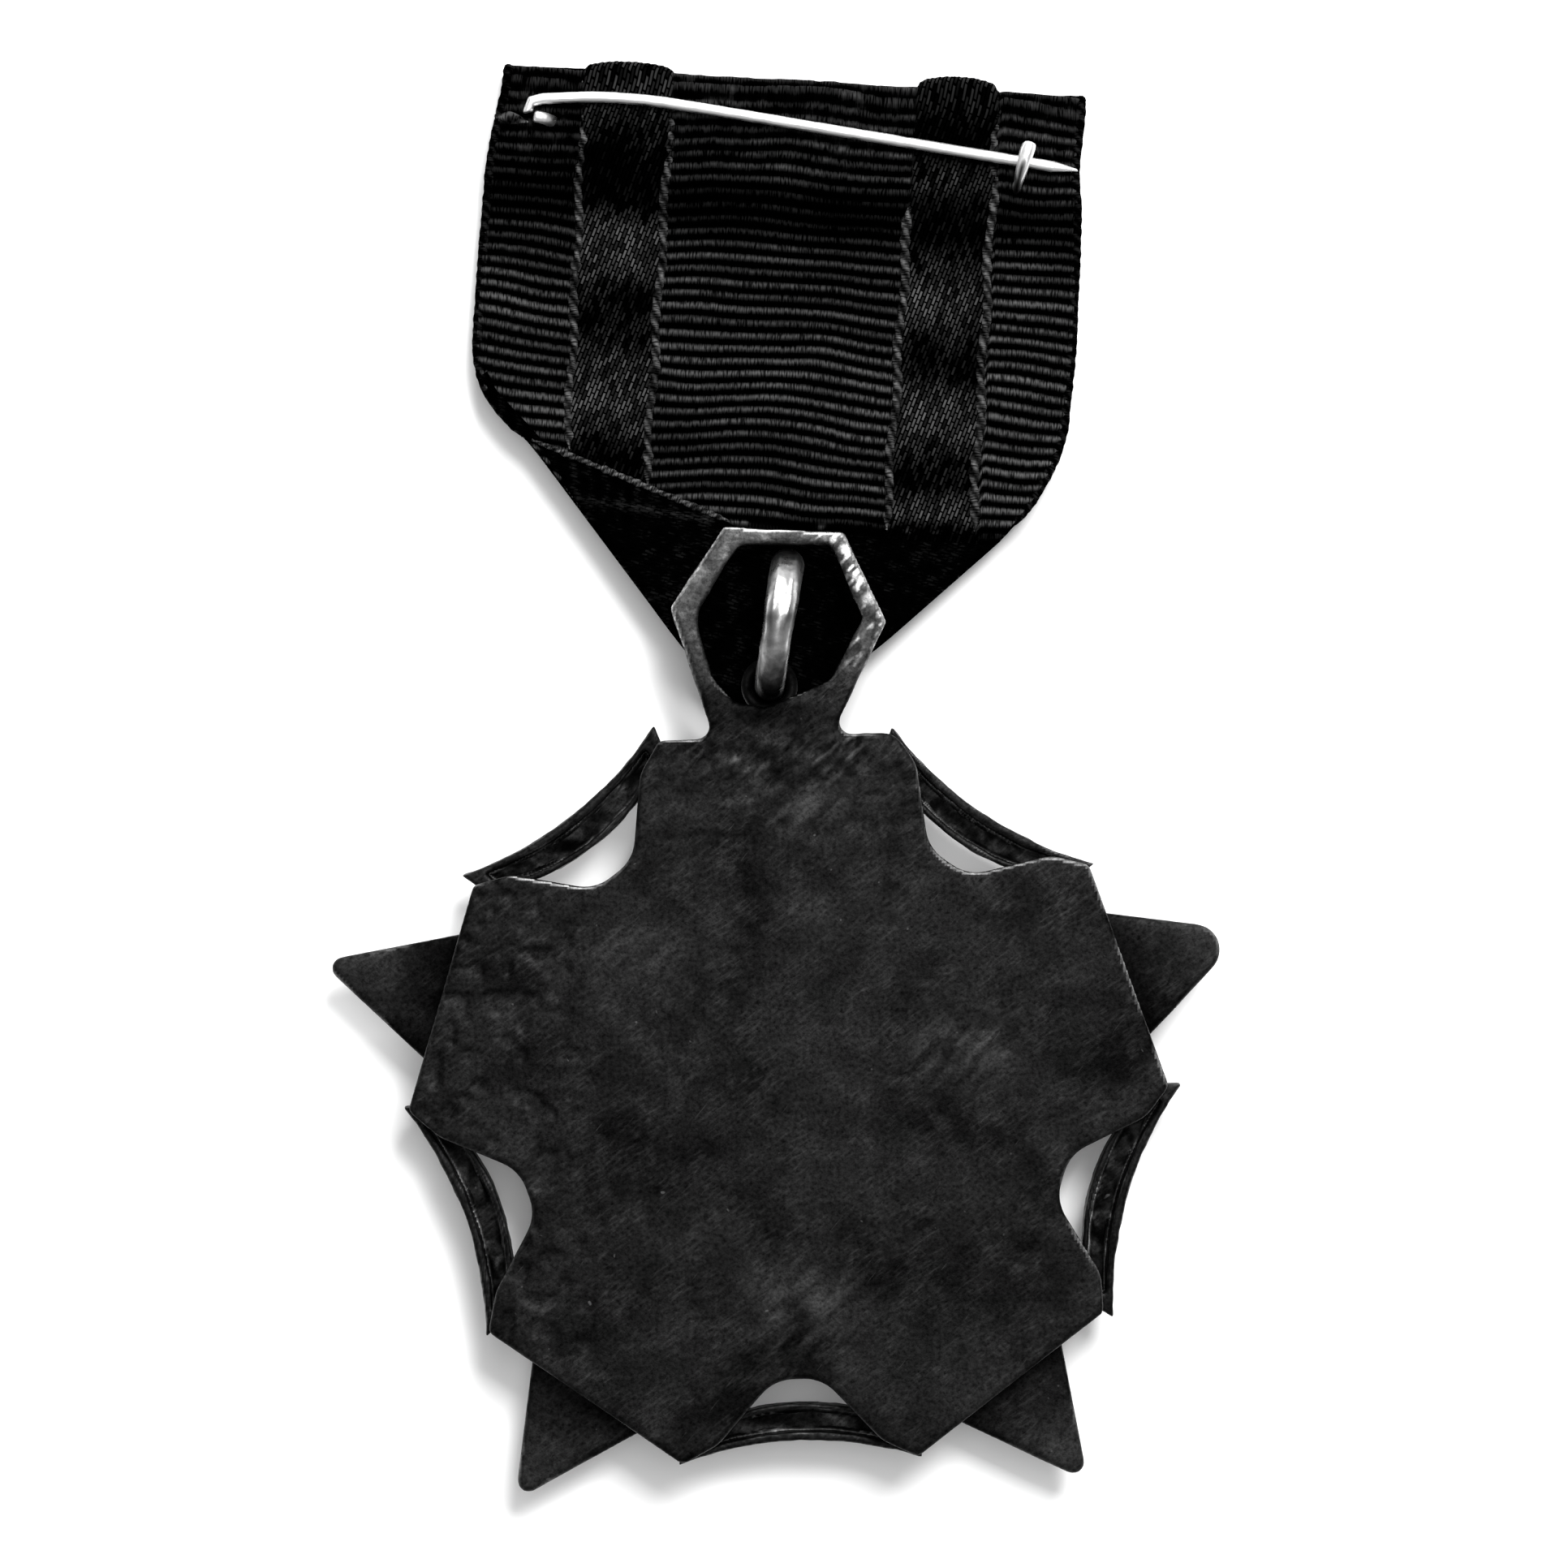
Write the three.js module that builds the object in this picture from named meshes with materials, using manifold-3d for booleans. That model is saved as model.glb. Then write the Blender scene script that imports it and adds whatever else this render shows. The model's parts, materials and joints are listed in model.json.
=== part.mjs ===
// Service medal on a folded ribbon, lying face down, so +Z is the back of the medal and +Y is its top.
// The ribbon's top fold and the boss on the medal's front rest on the surface z = 0.
// Units are millimetres.
import * as THREE from 'three';
import Module from 'manifold-3d';
import { mergeVertices } from 'three/addons/utils/BufferGeometryUtils.js';

const wasm = await Module();
wasm.setup();

// ---------------------------------------------------------------- driving dimensions

const GAP = 0.3; // clearance between pieces that are soldered, sewn or laid together

// ribbon, in its own frame: x = 0 on its middle, y = 0 at the top fold, z = 0 at its front
const CLOTH = 0.5; // thickness of the woven cloth
const TOP_HALF_WIDTH = 18.3;
const LEFT_SHOULDER = { x: -19.2, y: -19.1 };
const RIGHT_SHOULDER = { x: 18.5, y: -24.2 };
const POINT_TIP = { x: 0.2, y: -42.2 }; // where the two folded edges would meet
const POINT_ROUNDING = 5;
const FLEX_LINE_Y = -26.8; // the cloth bends here when the medal is lifted
const LEFT_FOLD_TOP = { x: -15.3, y: -23.5 }; // upper end of the folded corner's selvedge
const LEFT_FOLD_SLOPE = THREE.MathUtils.degToRad(-19.4);
const HEM_DEPTH = 6.6; // the hem that holds the brooch bar
const HEM_RUN_OUT = 1.8; // where the hem comes back down to the front panel
const HEM_FLOOR_END = 2; // how far the fold reaches under the bar
const BAR_THICKNESS = 0.7;
const RIBBON_PLACE = { x: 1.33, y: 43.45, turn: -3.2, tilt: -4.5 }; // of the top fold's middle, degrees

// brooch
const BAR_LENGTH = 32.4;
const BAR_WIDTH = 4;
const BAR_MIDDLE_Y = -3.6;
const BAR_CORNER = 0.8;
const NEEDLE_RADIUS = 0.3;
const NEEDLE_LIFT = 0.45; // clear height between the needle and the hem
const NEEDLE_TIP_LENGTH = 1.6;
const NEEDLE_TIP_START = { x: 16.5, y: -4.36 };
const NEEDLE_FALL = -0.11; // the straight run's slope, to the right and down
const NEEDLE_STRAIGHT = 12;
const NEEDLE_CROWN = [ // the needle's middle line from its bend to the straight run
  { x: -16.72, y: -2.72 },
  { x: -16.82, y: -2.35 },
  { x: -16.35, y: -1.98 },
  { x: -14.7, y: -1.74 },
  { x: -12.2, y: -1.54 },
  { x: -9.2, y: -1.58 },
  { x: -5.8, y: -1.9 },
];
const ANCHOR_HOLE = { x: -15.2, y: -3.1 }; // where the wire comes up through the hem
const ANCHOR_REACH = 1.05; // from there to the end that meets the needle
const HOOK_HOLE = { x: 14.4, y: -5.6 };
const HOOK_RADIUS = 0.4;
const HOOK_RISE = 2; // of its middle line above the needle's
const HOOK_REACH = 2.25; // of its open end, up the ribbon
const HOLE_HALF_WIDTH = 0.9; // of the two holes in the hem
const HOLE_HALF_HEIGHT = 1.1;
const WIRE_SIDES = 10;

// suspension ring
const RING_RADIUS = 3.85; // to the middle of its wire
const RING_WIRE = 0.95;
const RING_PLACE = { x: 0.32, y: 9.45, z: 5.25, turn: -8.6 };
const EYELET_WIRE = 0.35;
const EYELET_PLAY = 0.15;
const EYELET_TAB = { width: 1.8, length: 2.2 };

// badge, in its own frame: the origin is its centre
const BADGE_PLACE = { x: 0.95, y: -20.2, turn: 1.9 };
const ARMS = 5;
const SECTOR = (2 * Math.PI) / ARMS;
const ARM_RADIUS = 23.8; // to the corners of the arms
const ARM_HALF_ANGLE = SECTOR / 4;
// corners of one side of a notch, outwards from the badge's centre and away from the notch's middle
const NOTCH_SHOULDER = { along: 21.3, across: 5.1, r: 2.5 };
const NOTCH_FLOOR = { along: 17.35, across: 1.5, r: 2.6 };
const NOTCH_SHIFTS = [0.4, 0, 0.2, 0.5, 0.5]; // cut by hand, most are a little shallower than that
const PLATE = { low: 5.9, high: 7.1 };
const STAR = { low: 3.9, high: 4.9 };
const STRUT = { low: 3.6, high: PLATE.low - GAP };
const DISC = { low: 2.6, high: STAR.low - GAP };
const RIM = { low: 1.5, high: DISC.low - GAP };
const BOSS = { low: 0, high: DISC.low - GAP };

const LOOP_CENTRE = { x: 0.35, y: 30.25 }; // six-sided loop above the top arm
const LOOP_TURN = THREE.MathUtils.degToRad(-BADGE_PLACE.turn); // it stands level although the badge does not
const LOOP_HALF_WIDTH = 6.75;
const LOOP_LEAN = 0.45; // its left corner is higher and its right corner lower by this much
const NECK = { left: -3.9, right: 3.4, rounding: 0.8 };
const PLATE_CORNER = 0.5;
const WORN_CORNER = 1.4; // the right-hand corner of the top arm
const LOOP_CORNER = 0.3;
const LOOP_OUTLINE = [ // its upper corners, from its centre
  { x: LOOP_HALF_WIDTH, y: -LOOP_LEAN, r: LOOP_CORNER },
  { x: 4.15, y: 5.15, r: LOOP_CORNER },
  { x: -3.4, y: 5.5, r: LOOP_CORNER },
  { x: -LOOP_HALF_WIDTH, y: LOOP_LEAN, r: LOOP_CORNER },
];
const LOOP_OPENING = [ // corners of its opening, from its centre
  { x: -2.5, y: 4.4, r: 0.8 },
  { x: -5.2, y: 0, r: 2.5 },
  { x: -4.2, y: -3.8, r: 1.5 },
  { x: -2.7, y: -5.5, r: 0.8 },
  { x: -0.8, y: -5.8, r: 1.5 },
  { x: 3.3, y: -4.1, r: 1 },
  { x: 5.3, y: -0.2, r: 0.3 },
  { x: 3.3, y: 4.4, r: 0.4 },
];

const STAR_RADIUS = 30.7; // to the sharp end of a point, before it is rounded
const STAR_HALF_POINT = THREE.MathUtils.degToRad(27);
const STAR_ROUNDING = 0.7;
const BLUNT_ROUNDING = 1.6; // the right-hand point is worn
const TOP_POINT_END = 21.5; // the top point is cut off under the arm, clear of the ribbon

const STRUT_OUTER = { middle: 21.95, end: 23.25, across: 7.65 }; // arcs from the badge's centre outwards
const STRUT_INNER = { middle: 19.6, end: 21.4, across: 7.1 };
const GROOVE_OUTER = { middle: 21.4, end: 22.45, across: 6.4 };
const GROOVE_INNER = { middle: 19.95, end: 21.35, across: 6.2 };
const STRUT_SHIFTS = [0.35, -0.3, -0.4, 0.2, -0.35]; // each strut was soldered a little further out or in
const STRUT_FLOOR = 0.7; // thickness left under the groove

const DISC_RADIUS = 12;
const DISC_BEVEL = 0.4;
const RIM_INNER = 9.4;
const RIM_OUTER = 11.6;
const RIM_BEVEL = 0.5;
const BOSS_RADIUS = 7.8;
const BOSS_FACE_RADIUS = 6.4;
const BOSS_BEVEL_HEIGHT = 1.2;
const STUD_RADIUS = 1.2;
const STUD_LOW = 0.9;

// ---------------------------------------------------------------- materials

const metal = (color, roughness) => new THREE.MeshStandardMaterial({ color, roughness, metalness: 1 });
const cloth = (color) => new THREE.MeshStandardMaterial({ color, roughness: 0.9, metalness: 0 });

const PATINA = metal(0x2b2b2b, 0.55);
const WORN_METAL = metal(0x4a4a4a, 0.45);
const BRIGHT_WIRE = metal(0xd8d8d8, 0.15);
const RING_METAL = metal(0x9a9a9a, 0.25);
const BLACK_CLOTH = cloth(0x1a1a1a);

// ---------------------------------------------------------------- shape helpers

const rad = THREE.MathUtils.degToRad;
const polar = (radius, angle) => ({ x: radius * Math.cos(angle), y: radius * Math.sin(angle) });

// A closed outline through corners, each rounded by its own radius r (0 or none is sharp).
function rounded(corners, Kind = THREE.Shape) {
  const outline = new Kind();
  corners.forEach((corner, i) => {
    const before = corners[(i + corners.length - 1) % corners.length];
    const after = corners[(i + 1) % corners.length];
    const here = new THREE.Vector2(corner.x, corner.y);
    const back = new THREE.Vector2(before.x, before.y).sub(here).normalize();
    const ahead = new THREE.Vector2(after.x, after.y).sub(here).normalize();
    const half = Math.acos(back.dot(ahead)) / 2;
    const r = corner.r ?? 0;
    const start = here.clone().addScaledVector(back, r / Math.tan(half));
    const end = here.clone().addScaledVector(ahead, r / Math.tan(half));
    if (i === 0) outline.moveTo(start.x, start.y);
    else outline.lineTo(start.x, start.y);
    if (r > 0) {
      const inward = back.clone().add(ahead).normalize();
      const centre = here.clone().addScaledVector(inward, r / Math.sin(half));
      const from = start.clone().sub(centre);
      const to = end.clone().sub(centre);
      outline.absarc(centre.x, centre.y, r, from.angle(), to.angle(), from.cross(to) < 0);
    }
  });
  outline.closePath();
  return outline;
}

// A flat piece of an outline between two heights.
function slab(outline, { low, high }, curveSegments = 5) {
  const settings = { depth: high - low, bevelEnabled: false, curveSegments };
  return new THREE.ExtrudeGeometry(outline, settings).translate(0, 0, low);
}

function rectangle(left, right, bottom, top) {
  return rounded([
    { x: left, y: bottom },
    { x: right, y: bottom },
    { x: right, y: top },
    { x: left, y: top },
  ]);
}

// A round wire along a smooth curve through points.
function wire(points, radius, steps) {
  const corners = points.map((point) => new THREE.Vector3(...point));
  const path = new THREE.CatmullRomCurve3(corners, false, 'centripetal');
  const section = new THREE.Shape();
  for (let i = 0; i < WIRE_SIDES; i += 1) {
    const { x, y } = polar(radius, (2 * Math.PI * i) / WIRE_SIDES);
    if (i === 0) section.moveTo(x, y);
    else section.lineTo(x, y);
  }
  section.closePath();
  return new THREE.ExtrudeGeometry(section, { steps, extrudePath: path, bevelEnabled: false });
}

// A turned piece about +Z from [radius, height] pairs that start and end on the axis or form a closed loop.
function turned(profile, segments = 48) {
  const points = profile.map(([radius, height]) => new THREE.Vector2(radius, height));
  return new THREE.LatheGeometry(points, segments).rotateX(Math.PI / 2);
}

function solidOf(geometry) {
  const bare = geometry.clone();
  bare.deleteAttribute('normal');
  bare.deleteAttribute('uv');
  const merged = mergeVertices(bare.index ? bare.toNonIndexed() : bare, 1e-4);
  return new wasm.Manifold(
    new wasm.Mesh({
      numProp: 3,
      vertProperties: Float32Array.from(merged.attributes.position.array),
      triVerts: Uint32Array.from(merged.index.array),
    }),
  );
}

function geometryOf(solid) {
  const mesh = solid.getMesh();
  const geometry = new THREE.BufferGeometry();
  geometry.setAttribute('position', new THREE.BufferAttribute(Float32Array.from(mesh.vertProperties), 3));
  geometry.setIndex(new THREE.BufferAttribute(Uint32Array.from(mesh.triVerts), 1));
  geometry.computeVertexNormals();
  return geometry;
}

const joined = (first, ...others) =>
  geometryOf(others.reduce((all, other) => all.add(solidOf(other)), solidOf(first)));
const cut = (first, ...tools) =>
  geometryOf(tools.reduce((rest, tool) => rest.subtract(solidOf(tool)), solidOf(first)));
const common = (first, second) => geometryOf(solidOf(first).intersect(solidOf(second)));

function piece(name, geometry, material) {
  const mesh = new THREE.Mesh(geometry, material.clone());
  mesh.name = name;
  return mesh;
}

// ---------------------------------------------------------------- ribbon

const FRONT_LAYER = { low: 0.1, high: 0.1 + CLOTH };
const BACK_LAYER = { low: FRONT_LAYER.high + GAP, high: FRONT_LAYER.high + GAP + CLOTH };
const BAR_LAYER = { low: FRONT_LAYER.high + GAP, high: FRONT_LAYER.high + GAP + BAR_THICKNESS };
const HEM_LAYER = { low: BAR_LAYER.high + GAP, high: BAR_LAYER.high + GAP + CLOTH };
const ANYWHERE = { low: -5, high: 10 };
const FAR = 60; // beyond every edge of the ribbon

// The folded ribbon's outline: a straight top, two shoulders and a rounded point.
function ribbonOutline() {
  return rounded([
    { x: -TOP_HALF_WIDTH, y: 0 },
    { ...LEFT_SHOULDER, r: 3.5 },
    { ...POINT_TIP, r: POINT_ROUNDING },
    { ...RIGHT_SHOULDER, r: 7 },
    { x: TOP_HALF_WIDTH, y: 0 },
  ]);
}

// The region below the left corner's selvedge, moved by a distance at right angles to it.
function belowLeftFold(offset) {
  const along = polar(1, LEFT_FOLD_SLOPE);
  const x = LEFT_FOLD_TOP.x + along.y * -offset;
  const y = LEFT_FOLD_TOP.y + along.x * offset;
  return rounded([
    { x: x - FAR * along.x, y: y - FAR * along.y },
    { x: x - FAR * along.x, y: -FAR },
    { x: x + FAR * along.x, y: -FAR },
    { x: x + FAR * along.x, y: y + FAR * along.y },
  ]);
}

function ribbonFront() {
  const strip = slab(rectangle(-FAR, FAR, FLEX_LINE_Y, -HEM_FLOOR_END - GAP), ANYWHERE);
  return common(slab(ribbonOutline(), FRONT_LAYER), strip);
}

// The fold, the hem over the brooch bar and the back panel, as one strip seen from the side.
function ribbonSideProfile() {
  const outer = (HEM_LAYER.high - FRONT_LAYER.low) / 2;
  const middle = FRONT_LAYER.low + outer;
  const side = new THREE.Shape();
  side.moveTo(-HEM_FLOOR_END, FRONT_LAYER.low);
  side.lineTo(-outer, FRONT_LAYER.low);
  side.absarc(-outer, middle, outer, -Math.PI / 2, Math.PI / 2, false);
  side.lineTo(-HEM_DEPTH, HEM_LAYER.high);
  side.lineTo(-HEM_DEPTH - HEM_RUN_OUT, BACK_LAYER.high);
  side.lineTo(FLEX_LINE_Y, BACK_LAYER.high);
  side.lineTo(FLEX_LINE_Y, BACK_LAYER.low);
  side.lineTo(-HEM_DEPTH - HEM_RUN_OUT, BACK_LAYER.low);
  side.lineTo(-HEM_DEPTH, HEM_LAYER.low);
  side.lineTo(-outer, HEM_LAYER.low);
  side.absarc(-outer, middle, outer - CLOTH, Math.PI / 2, -Math.PI / 2, true);
  side.lineTo(-HEM_FLOOR_END, FRONT_LAYER.high);
  side.closePath();
  return side;
}

function ribbonBack() {
  // The profile's x is the ribbon's y, and its y is the ribbon's z.
  const strip = slab(ribbonSideProfile(), { low: -FAR / 2, high: FAR / 2 });
  strip.applyMatrix4(new THREE.Matrix4().makeBasis(
    new THREE.Vector3(0, 1, 0),
    new THREE.Vector3(0, 0, 1),
    new THREE.Vector3(1, 0, 0),
  ));
  const panel = common(strip, slab(ribbonOutline(), ANYWHERE));
  return cut(panel, slab(belowLeftFold(GAP), ANYWHERE), hemHole(ANCHOR_HOLE), hemHole(HOOK_HOLE));
}

// Room for a wire that comes up through the hem.
function hemHole({ x, y }) {
  const across = HOLE_HALF_WIDTH;
  const along = HOLE_HALF_HEIGHT;
  const mouth = rectangle(x - across, x + across, y - along, y + along);
  return slab(mouth, { low: BAR_LAYER.high, high: ANYWHERE.high });
}

// The part of the left folded corner that lies above the flex line.
function ribbonLeftFold() {
  const upper = slab(rectangle(-FAR, FAR, FLEX_LINE_Y, 0), ANYWHERE);
  return common(common(slab(ribbonOutline(), BACK_LAYER), slab(belowLeftFold(0), ANYWHERE)), upper);
}

// The sewn point, all its layers together, pierced by the suspension ring.
function ribbonPoint(ringRoom) {
  const lower = slab(rectangle(-FAR, FAR, -FAR, FLEX_LINE_Y - GAP), ANYWHERE);
  const point = common(slab(ribbonOutline(), { low: FRONT_LAYER.low, high: BACK_LAYER.high }), lower);
  return cut(point, ringRoom);
}

// ---------------------------------------------------------------- brooch

const NEEDLE_HEIGHT = HEM_LAYER.high + NEEDLE_LIFT + NEEDLE_RADIUS;

function broochBar() {
  const end = BAR_LENGTH / 2;
  const side = BAR_WIDTH / 2;
  const r = BAR_CORNER;
  return slab(
    rounded([
      { x: -end, y: BAR_MIDDLE_Y - side, r },
      { x: end, y: BAR_MIDDLE_Y - side, r },
      { x: end, y: BAR_MIDDLE_Y + side, r },
      { x: -end, y: BAR_MIDDLE_Y + side, r },
    ]),
    BAR_LAYER,
  );
}

// The fixed end of the pin's wire: up from the bar, through the hem and round to the left.
function pinAnchor() {
  const { x, y } = ANCHOR_HOLE;
  return wire(
    [
      [x + ANCHOR_REACH / 4, y, BAR_LAYER.high + GAP],
      [x - 0.05, y, HEM_LAYER.high],
      [x - ANCHOR_REACH / 2, y + 0.05, NEEDLE_HEIGHT - 0.12],
      [x - ANCHOR_REACH, y + 0.12, NEEDLE_HEIGHT - 0.05],
    ],
    NEEDLE_RADIUS,
    10,
  );
}

// The needle: the rest of the bend, a slight crown, and a straight run to the point.
function pinNeedle() {
  const z = NEEDLE_HEIGHT;
  const tipStart = new THREE.Vector3(NEEDLE_TIP_START.x, NEEDLE_TIP_START.y, z);
  const heading = new THREE.Vector3(1, NEEDLE_FALL, 0).normalize();
  const straightStart = tipStart.clone().addScaledVector(heading, -NEEDLE_STRAIGHT);
  const crown = NEEDLE_CROWN.map(({ x, y }) => [x, y, z]);
  const route = [...crown, straightStart.toArray(), tipStart.toArray()];
  const tip = new THREE.ConeGeometry(NEEDLE_RADIUS * 0.96, NEEDLE_TIP_LENGTH, WIRE_SIDES);
  tip.applyQuaternion(new THREE.Quaternion().setFromUnitVectors(new THREE.Vector3(0, 1, 0), heading));
  const middle = tipStart.clone().addScaledVector(heading, NEEDLE_TIP_LENGTH / 2 - 0.05);
  tip.translate(middle.x, middle.y, middle.z);
  return joined(wire(route, NEEDLE_RADIUS, 44), tip);
}

// The catch: a wire hook that rises from the bar and arches over the needle, open on its upper side.
function catchHook() {
  const { x, y } = HOOK_HOLE;
  const z = NEEDLE_HEIGHT;
  return wire(
    [
      [x - 0.05, y + 0.35, BAR_LAYER.high + GAP],
      [x - 0.05, y - 0.1, HEM_LAYER.high + 0.1],
      [x, y - 0.15, z + HOOK_RISE / 4],
      [x + 0.1, y + 0.35, z + 0.8 * HOOK_RISE],
      [x + 0.25, y + 1.25, z + HOOK_RISE],
      [x + 0.4, y + HOOK_REACH, z + 0.875 * HOOK_RISE],
    ],
    HOOK_RADIUS,
    22,
  );
}

// ---------------------------------------------------------------- suspension

const ringTorus = (wireRadius) => new THREE.TorusGeometry(RING_RADIUS, wireRadius, 14, 48);

// A closed loop of wire round the ring's lower end, with a tab that is soldered under the neck.
function ringEyelet() {
  const loopRadius = RING_WIRE + EYELET_PLAY + EYELET_WIRE;
  const loop = new THREE.TorusGeometry(loopRadius, EYELET_WIRE, 10, 32);
  const tab = new THREE.BoxGeometry(EYELET_TAB.width, EYELET_TAB.length, 2 * EYELET_WIRE);
  tab.translate(0, -loopRadius - EYELET_TAB.length / 2, 0);
  return joined(loop, tab);
}

// ---------------------------------------------------------------- badge

const UP = Math.PI / 2;

// A corner given from the loop's centre, in the badge's frame.
const onLoop = ({ x, y, r }) => ({
  x: LOOP_CENTRE.x + x * Math.cos(LOOP_TURN) - y * Math.sin(LOOP_TURN),
  y: LOOP_CENTRE.y + x * Math.sin(LOOP_TURN) + y * Math.cos(LOOP_TURN),
  r,
});

// Corners of the notch whose middle lies at an angle, in turning order, moved outwards by shift.
function notch(angle, shift) {
  const side = (way) => ({ along, across, r }) => ({
    x: (along + shift) * Math.cos(angle) - way * across * Math.sin(angle),
    y: (along + shift) * Math.sin(angle) + way * across * Math.cos(angle),
    r,
  });
  return [
    ...[NOTCH_SHOULDER, NOTCH_FLOOR].map(side(-1)),
    ...[NOTCH_FLOOR, NOTCH_SHOULDER].map(side(1)),
  ];
}

// Ten-sided plate with a notch between each pair of arms, a neck and the six-sided loop, all one sheet.
function backPlate() {
  const armTop = ARM_RADIUS * Math.cos(ARM_HALF_ANGLE);
  const corners = [
    { x: NECK.right, y: armTop, r: NECK.rounding },
    ...LOOP_OUTLINE.map(onLoop),
    { x: NECK.left, y: armTop, r: NECK.rounding },
  ];
  for (let arm = 0; arm < ARMS; arm += 1) {
    const angle = UP + arm * SECTOR;
    // The top arm's right-hand corner closes the outline, after the last notch.
    if (arm > 0) corners.push({ ...polar(ARM_RADIUS, angle - ARM_HALF_ANGLE), r: PLATE_CORNER });
    corners.push({ ...polar(ARM_RADIUS, angle + ARM_HALF_ANGLE), r: PLATE_CORNER });
    corners.push(...notch(angle + SECTOR / 2, NOTCH_SHIFTS[arm]));
  }
  corners.push({ ...polar(ARM_RADIUS, UP - ARM_HALF_ANGLE), r: WORN_CORNER });
  const outline = rounded(corners);
  outline.holes.push(rounded(LOOP_OPENING.map(onLoop), THREE.Path));
  return slab(outline, PLATE);
}

function starSheet() {
  const tan = Math.tan(STAR_HALF_POINT);
  const valley = (STAR_RADIUS * tan) / (Math.sin(SECTOR / 2) + Math.cos(SECTOR / 2) * tan);
  const corners = [];
  const cutHalfWidth = (STAR_RADIUS - TOP_POINT_END) * tan;
  corners.push({ x: cutHalfWidth, y: TOP_POINT_END }, { x: -cutHalfWidth, y: TOP_POINT_END });
  for (let point = 1; point < ARMS; point += 1) {
    const angle = UP + point * SECTOR;
    const r = point === ARMS - 1 ? BLUNT_ROUNDING : STAR_ROUNDING;
    corners.push(polar(valley, angle - SECTOR / 2));
    corners.push({ ...polar(STAR_RADIUS, angle), r });
  }
  corners.push(polar(valley, UP - SECTOR / 2));
  return cut(slab(rounded(corners), STAR), studRoom());
}

// Points along an arc that bows towards the badge's centre, given its middle and one of its mirrored ends.
function bowed({ middle, end, across }, divisions = 12) {
  const sag = end - middle;
  const radius = (across * across + sag * sag) / (2 * sag);
  const spread = Math.asin(across / radius);
  const points = [];
  for (let i = 0; i <= divisions; i += 1) {
    const angle = spread * ((2 * i) / divisions - 1);
    points.push({ x: middle + radius * (1 - Math.cos(angle)), y: radius * Math.sin(angle) });
  }
  return points;
}

// A hollow-backed strut between two arms, pointing along +X: a crescent with a horn at each end.
function strut() {
  const crescent = (outer, inner) => rounded([...bowed(outer), ...bowed(inner).reverse()]);
  const open = { low: STRUT.low + STRUT_FLOOR, high: PLATE.high };
  const groove = slab(crescent(GROOVE_OUTER, GROOVE_INNER), open);
  return cut(slab(crescent(STRUT_OUTER, STRUT_INNER), STRUT), groove);
}

// Room for the stud, from just below its lower end upwards.
function studRoom() {
  const room = { low: STUD_LOW - GAP, high: PLATE.high };
  return new THREE.CylinderGeometry(STUD_RADIUS + GAP, STUD_RADIUS + GAP, room.high - room.low, 24)
    .rotateX(Math.PI / 2)
    .translate(0, 0, (room.high + room.low) / 2);
}

const medallionDisc = () => cut(
  turned([
    [0, DISC.low],
    [DISC_RADIUS - DISC_BEVEL, DISC.low],
    [DISC_RADIUS, DISC.low + DISC_BEVEL],
    [DISC_RADIUS, DISC.high],
    [0, DISC.high],
  ]),
  studRoom(),
);

const medallionRim = () => turned([
  [RIM_INNER, RIM.high],
  [RIM_INNER + RIM_BEVEL, RIM.low],
  [RIM_OUTER - RIM_BEVEL, RIM.low],
  [RIM_OUTER, RIM.high],
  [RIM_INNER, RIM.high],
]);

const centreBoss = () => cut(
  turned([
    [0, BOSS.low],
    [BOSS_FACE_RADIUS, BOSS.low],
    [BOSS_RADIUS, BOSS.low + BOSS_BEVEL_HEIGHT],
    [BOSS_RADIUS, BOSS.high],
    [0, BOSS.high],
  ]),
  studRoom(),
);

const centreStud = () => new THREE.CylinderGeometry(STUD_RADIUS, STUD_RADIUS, STRUT.high - STUD_LOW, 24)
  .rotateX(Math.PI / 2)
  .translate(0, 0, (STRUT.high + STUD_LOW) / 2);

// ---------------------------------------------------------------- assembly

const medal = new THREE.Group();

const ribbon = new THREE.Group();
ribbon.position.set(RIBBON_PLACE.x, RIBBON_PLACE.y, 0);
ribbon.rotation.set(rad(RIBBON_PLACE.tilt), 0, rad(RIBBON_PLACE.turn), 'ZYX');

const ring = new THREE.Group();
ring.position.set(RING_PLACE.x, RING_PLACE.y, RING_PLACE.z);
ring.rotation.set(0, UP, rad(RING_PLACE.turn), 'ZYX');

const badge = new THREE.Group();
badge.position.set(BADGE_PLACE.x, BADGE_PLACE.y, 0);
badge.rotation.z = rad(BADGE_PLACE.turn);

medal.add(ribbon, ring, badge);
medal.updateMatrixWorld(true);

const ringInRibbon = ribbon.matrixWorld.clone().invert().multiply(ring.matrixWorld);
const ringRoom = ringTorus(RING_WIRE + GAP).applyMatrix4(ringInRibbon);

ribbon.add(
  piece('ribbon_front', ribbonFront(), BLACK_CLOTH),
  piece('ribbon_back', ribbonBack(), BLACK_CLOTH),
  piece('ribbon_left_fold', ribbonLeftFold(), BLACK_CLOTH),
  piece('ribbon_point', ribbonPoint(ringRoom), BLACK_CLOTH),
  piece('brooch_bar', broochBar(), WORN_METAL),
  piece('pin_anchor', pinAnchor(), BRIGHT_WIRE),
  piece('pin_needle', pinNeedle(), BRIGHT_WIRE),
  piece('catch_hook', catchHook(), BRIGHT_WIRE),
);

ring.add(piece('suspension_ring', ringTorus(RING_WIRE), RING_METAL));

badge.add(
  piece('back_plate', backPlate(), PATINA),
  piece('star', starSheet(), PATINA),
  piece('medallion_disc', medallionDisc(), PATINA),
  piece('medallion_rim', medallionRim(), PATINA),
  piece('centre_boss', centreBoss(), PATINA),
  piece('centre_stud', centreStud(), WORN_METAL),
);

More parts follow.
